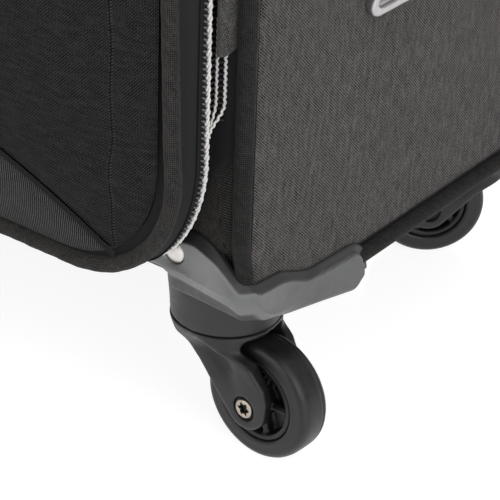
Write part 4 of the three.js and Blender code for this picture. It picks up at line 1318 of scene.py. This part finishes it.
# ---- sliders and pullers ----
def box_place(node):
    """A CAD box's size, and its middle in the case's frame, in millimetres."""
    lo, hi = (np.array(corner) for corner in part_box(node))
    return (hi - lo) * 1000, ((lo + hi) / 2 - ORIGIN) * 1000


def slider_piece(name, box_node, body, along, face):
    """A zip slider: a waisted body with a raised bridge, in the place of its CAD box."""
    size, shift = box_place(box_node)
    axes = [along, face, 3 - along - face]
    half = [size[k] / 2 for k in axes]

    def field(*p):
        a, f, c = (p[k] for k in (0, 1, 2))
        waist = half[2] * (1 - 0.22 * smooth(1 - np.abs(a) / half[0] * 1.6))
        plate = both(both(np.abs(a) - half[0], np.abs(c) - waist, 1.4), np.abs(f) - half[1] * 0.62, 0.6)
        arch = np.abs(np.hypot(a / 0.62, (f - half[1] * 0.3)) - half[1] * 0.62) - 0.55
        bridge = both(both(arch, np.abs(c) - 0.85, 0.3), -f)
        return either(plate, bridge, 0.5)

    turn = np.zeros((3, 3))
    for k, axis in enumerate(axes):
        turn[axis, k] = 1.0
    if face == 1:
        turn[1, 1] = -1.0
    reach = [h + 0.7 for h in half]
    solid(name, field, [-r for r in reach], reach, 0.3, DARK_CHROME, body, "slider_metal", (box_node,),
          turn=turn, shift=shift, relax=1)


def puller_piece(name, box_node, body, face):
    """A flat puller with an eye at its top and a long hole, hanging down in the place of its CAD box."""
    size, shift = box_place(box_node)
    across = 1 - face
    half = (size[2] / 2, size[face] / 2, size[across] / 2)

    def field(a, f, c):
        width = half[2] * (0.62 + 0.38 * smooth((-a + half[0] * 0.2) / 8))
        plate = both(both(np.abs(a) - half[0], np.abs(c) - width, 1.6), np.abs(f) - half[1] * 0.9, 0.5)
        eye = np.hypot((a - half[0] + 2.4) / 1.1, c) - 1.0
        hole = both(np.abs(a + half[0] * 0.25) - half[0] * 0.45, np.abs(c) - half[2] * 0.36, 1.0)
        return both(plate, -either(eye, hole), 0.3)

    turn = np.zeros((3, 3))
    turn[2, 0] = turn[face, 1] = turn[across, 2] = 1.0
    reach = [h + 0.7 for h in half]
    solid(name, field, [-r for r in reach], reach, 0.3, DARK_CHROME, body, "slider_metal", (box_node,),
          turn=turn, shift=shift, relax=1)


def add_sliders():
    for letter in "ab":
        slider_piece("zip_slider_" + letter, "main_slider_" + letter, "main_slider_" + letter, 2, 0)
        puller_piece("zip_puller_" + letter, "main_puller_" + letter, "main_puller_" + letter, 0)
    slider_piece("zip_slider_expansion", "expansion_slider", "expansion_slider", 2, 1)
    slider_piece("zip_slider_pocket", "pocket_slider", "pocket_slider", 0, 1)
    puller_piece("zip_puller_pocket", "pocket_puller", "pocket_puller", 1)


# ---- inside ----
def add_lining():
    outline = case_outline(6.5, 12)
    s = outline.steps(0, outline.length, 8.0)
    y = np.concatenate([[3.4, 6, 12], np.linspace(20, DEPTH - 16, 26), [DEPTH - 11, DEPTH - 8]])
    inner = case_outline(23)
    far = inner.at(np.interp(s / outline.length, np.linspace(0, 1, 401), matched(outline, inner)))[0]
    near = outline.at(s)[0]
    share = smooth((y - 14) / -10.6)[None, :, None]
    tuck = smooth((y - DEPTH + 16) / 8)[None, :, None]
    points = near[:, None] * (1 - share) + far[:, None] * share
    middle = np.array([0.0, 350.0])
    points = middle + (points - middle) * (1 - 0.02 * tuck)
    lift = smooth((BOTTOM + 30 - near[:, 1]) / 25)
    front = bottom_rise(y)
    raised = points[..., 1] - near[:, None, 1]
    z = points[..., 1] + lift[:, None] * np.clip(front[None, :] - raised, 0, None)
    billow = wrinkle(s[:, None], y[None, :], 1.2, 7)
    points = np.stack([points[..., 0] - np.sign(points[..., 0]) * np.abs(billow) * 0.5,
                       np.broadcast_to(y, points.shape[:2]), z + 0 * billow], -1)
    mesh = grid_mesh("lining_wall", points[:-1], s, y, True)
    finish_piece("lining_wall", mesh, LINING, "case", "lining")
    edge = outline.at(s)[0]
    middle = np.array([0.0, 350.0])
    rings = np.array([0.985, 0.9, 0.7, 0.5, 0.3, 0.1, 0.0005])
    points = middle + (edge - middle)[:, None] * rings[None, :, None]
    y = np.array([DEPTH - 8.0, DEPTH - 6.4, DEPTH - 6, DEPTH - 6, DEPTH - 6, DEPTH - 6, DEPTH - 6])
    points = np.stack([points[..., 0], np.broadcast_to(y, points.shape[:2]), points[..., 1]], -1)
    mesh = grid_mesh("lining_back", points[:-1], s, (1 - rings) * 200, True)
    finish_piece("lining_back", mesh, LINING, "case", "lining")


add_case()
add_border()
add_piping()
add_zips()
add_gusset()
add_lid()
add_pads()
add_housings()
add_casters()
add_handles()
add_trolley()
add_sliders()
add_lining()


# ---- floor, light and camera ----
def add_stage():
    size, low = 6000.0, 0.0
    n = 25
    x = np.linspace(-size, size, n)
    points = np.stack(np.broadcast_arrays(x[:, None], x[None, :], low), -1)
    mesh = grid_mesh("floor", points, x, x)
    f = Finish("floor_white", roughness=0.12, Specular_IOR_Level=0.6)
    cloud = f.noise(f.place(), 0.002, 2.0, 0.5)
    f.put(f.shader, {"Emission Color": (1, 1, 1, 1), "Emission Strength": 0.84})
    f.finish(f.ramp(cloud, [(0.3, (0.34, 0.34, 0.34)), (0.7, (0.36, 0.36, 0.36))]))
    mesh.materials.append(f.material)
    floor = bpy.data.objects.new("floor", mesh)
    bpy.context.scene.collection.objects.link(floor)


def add_light(name, place, aim, size, power):
    data = bpy.data.lights.new(name, "AREA")
    data.shape, data.size, data.size_y, data.energy = "RECTANGLE", size[0], size[1], power
    light = bpy.data.objects.new(name, data)
    bpy.context.scene.collection.objects.link(light)
    place, aim = row(place), row(aim)
    light.location = place
    light.rotation_mode = "QUATERNION"
    light.rotation_quaternion = Vector((aim - place).tolist()).to_track_quat("-Z", "Y")


def add_world():
    world = bpy.data.worlds.new("studio")
    bpy.context.scene.world = world
    world.use_nodes = True
    sky = world.node_tree.nodes["Background"]
    sky.inputs["Color"].default_value = (1, 1, 1, 1)
    sky.inputs["Strength"].default_value = 0.5


def add_camera():
    azimuth, elevation, roll = (math.radians(a) for a in (36.33, 30.4, 2.11))
    ahead = np.array([-math.sin(azimuth) * math.cos(elevation),
                      math.cos(azimuth) * math.cos(elevation), -math.sin(elevation)])
    level = np.array([math.cos(azimuth), math.sin(azimuth), 0.0])
    up = np.cross(level, ahead)
    right = math.cos(roll) * level + math.sin(roll) * up
    above = -math.sin(roll) * level + math.cos(roll) * up
    data = bpy.data.cameras.new("camera")
    data.sensor_width, data.lens = 36.0, 158.4
    data.clip_start, data.clip_end = 0.02, 100
    camera = bpy.data.objects.new("camera", data)
    bpy.context.scene.collection.objects.link(camera)
    place = row((HALF + 398.2, -539.8, 502.4))
    columns_ = np.stack([right, above, -ahead], 1)
    matrix = np.eye(4)
    matrix[:3, :3], matrix[:3, 3] = columns_, place
    camera.matrix_world = Matrix(matrix.tolist())
    bpy.context.scene.camera = camera


add_stage()
add_world()
add_light("overhead", (500, -500, 2400), (250, -150, 100), (2.2, 2.2), 24)
add_light("key", (1600, -500, 800), (150, 0, 200), (1.2, 1.2), 16)
add_light("front", (-300, -1800, 900), (150, 0, 150), (1.5, 1.2), 14)
add_camera()
bpy.context.scene.view_settings.view_transform = "Standard"
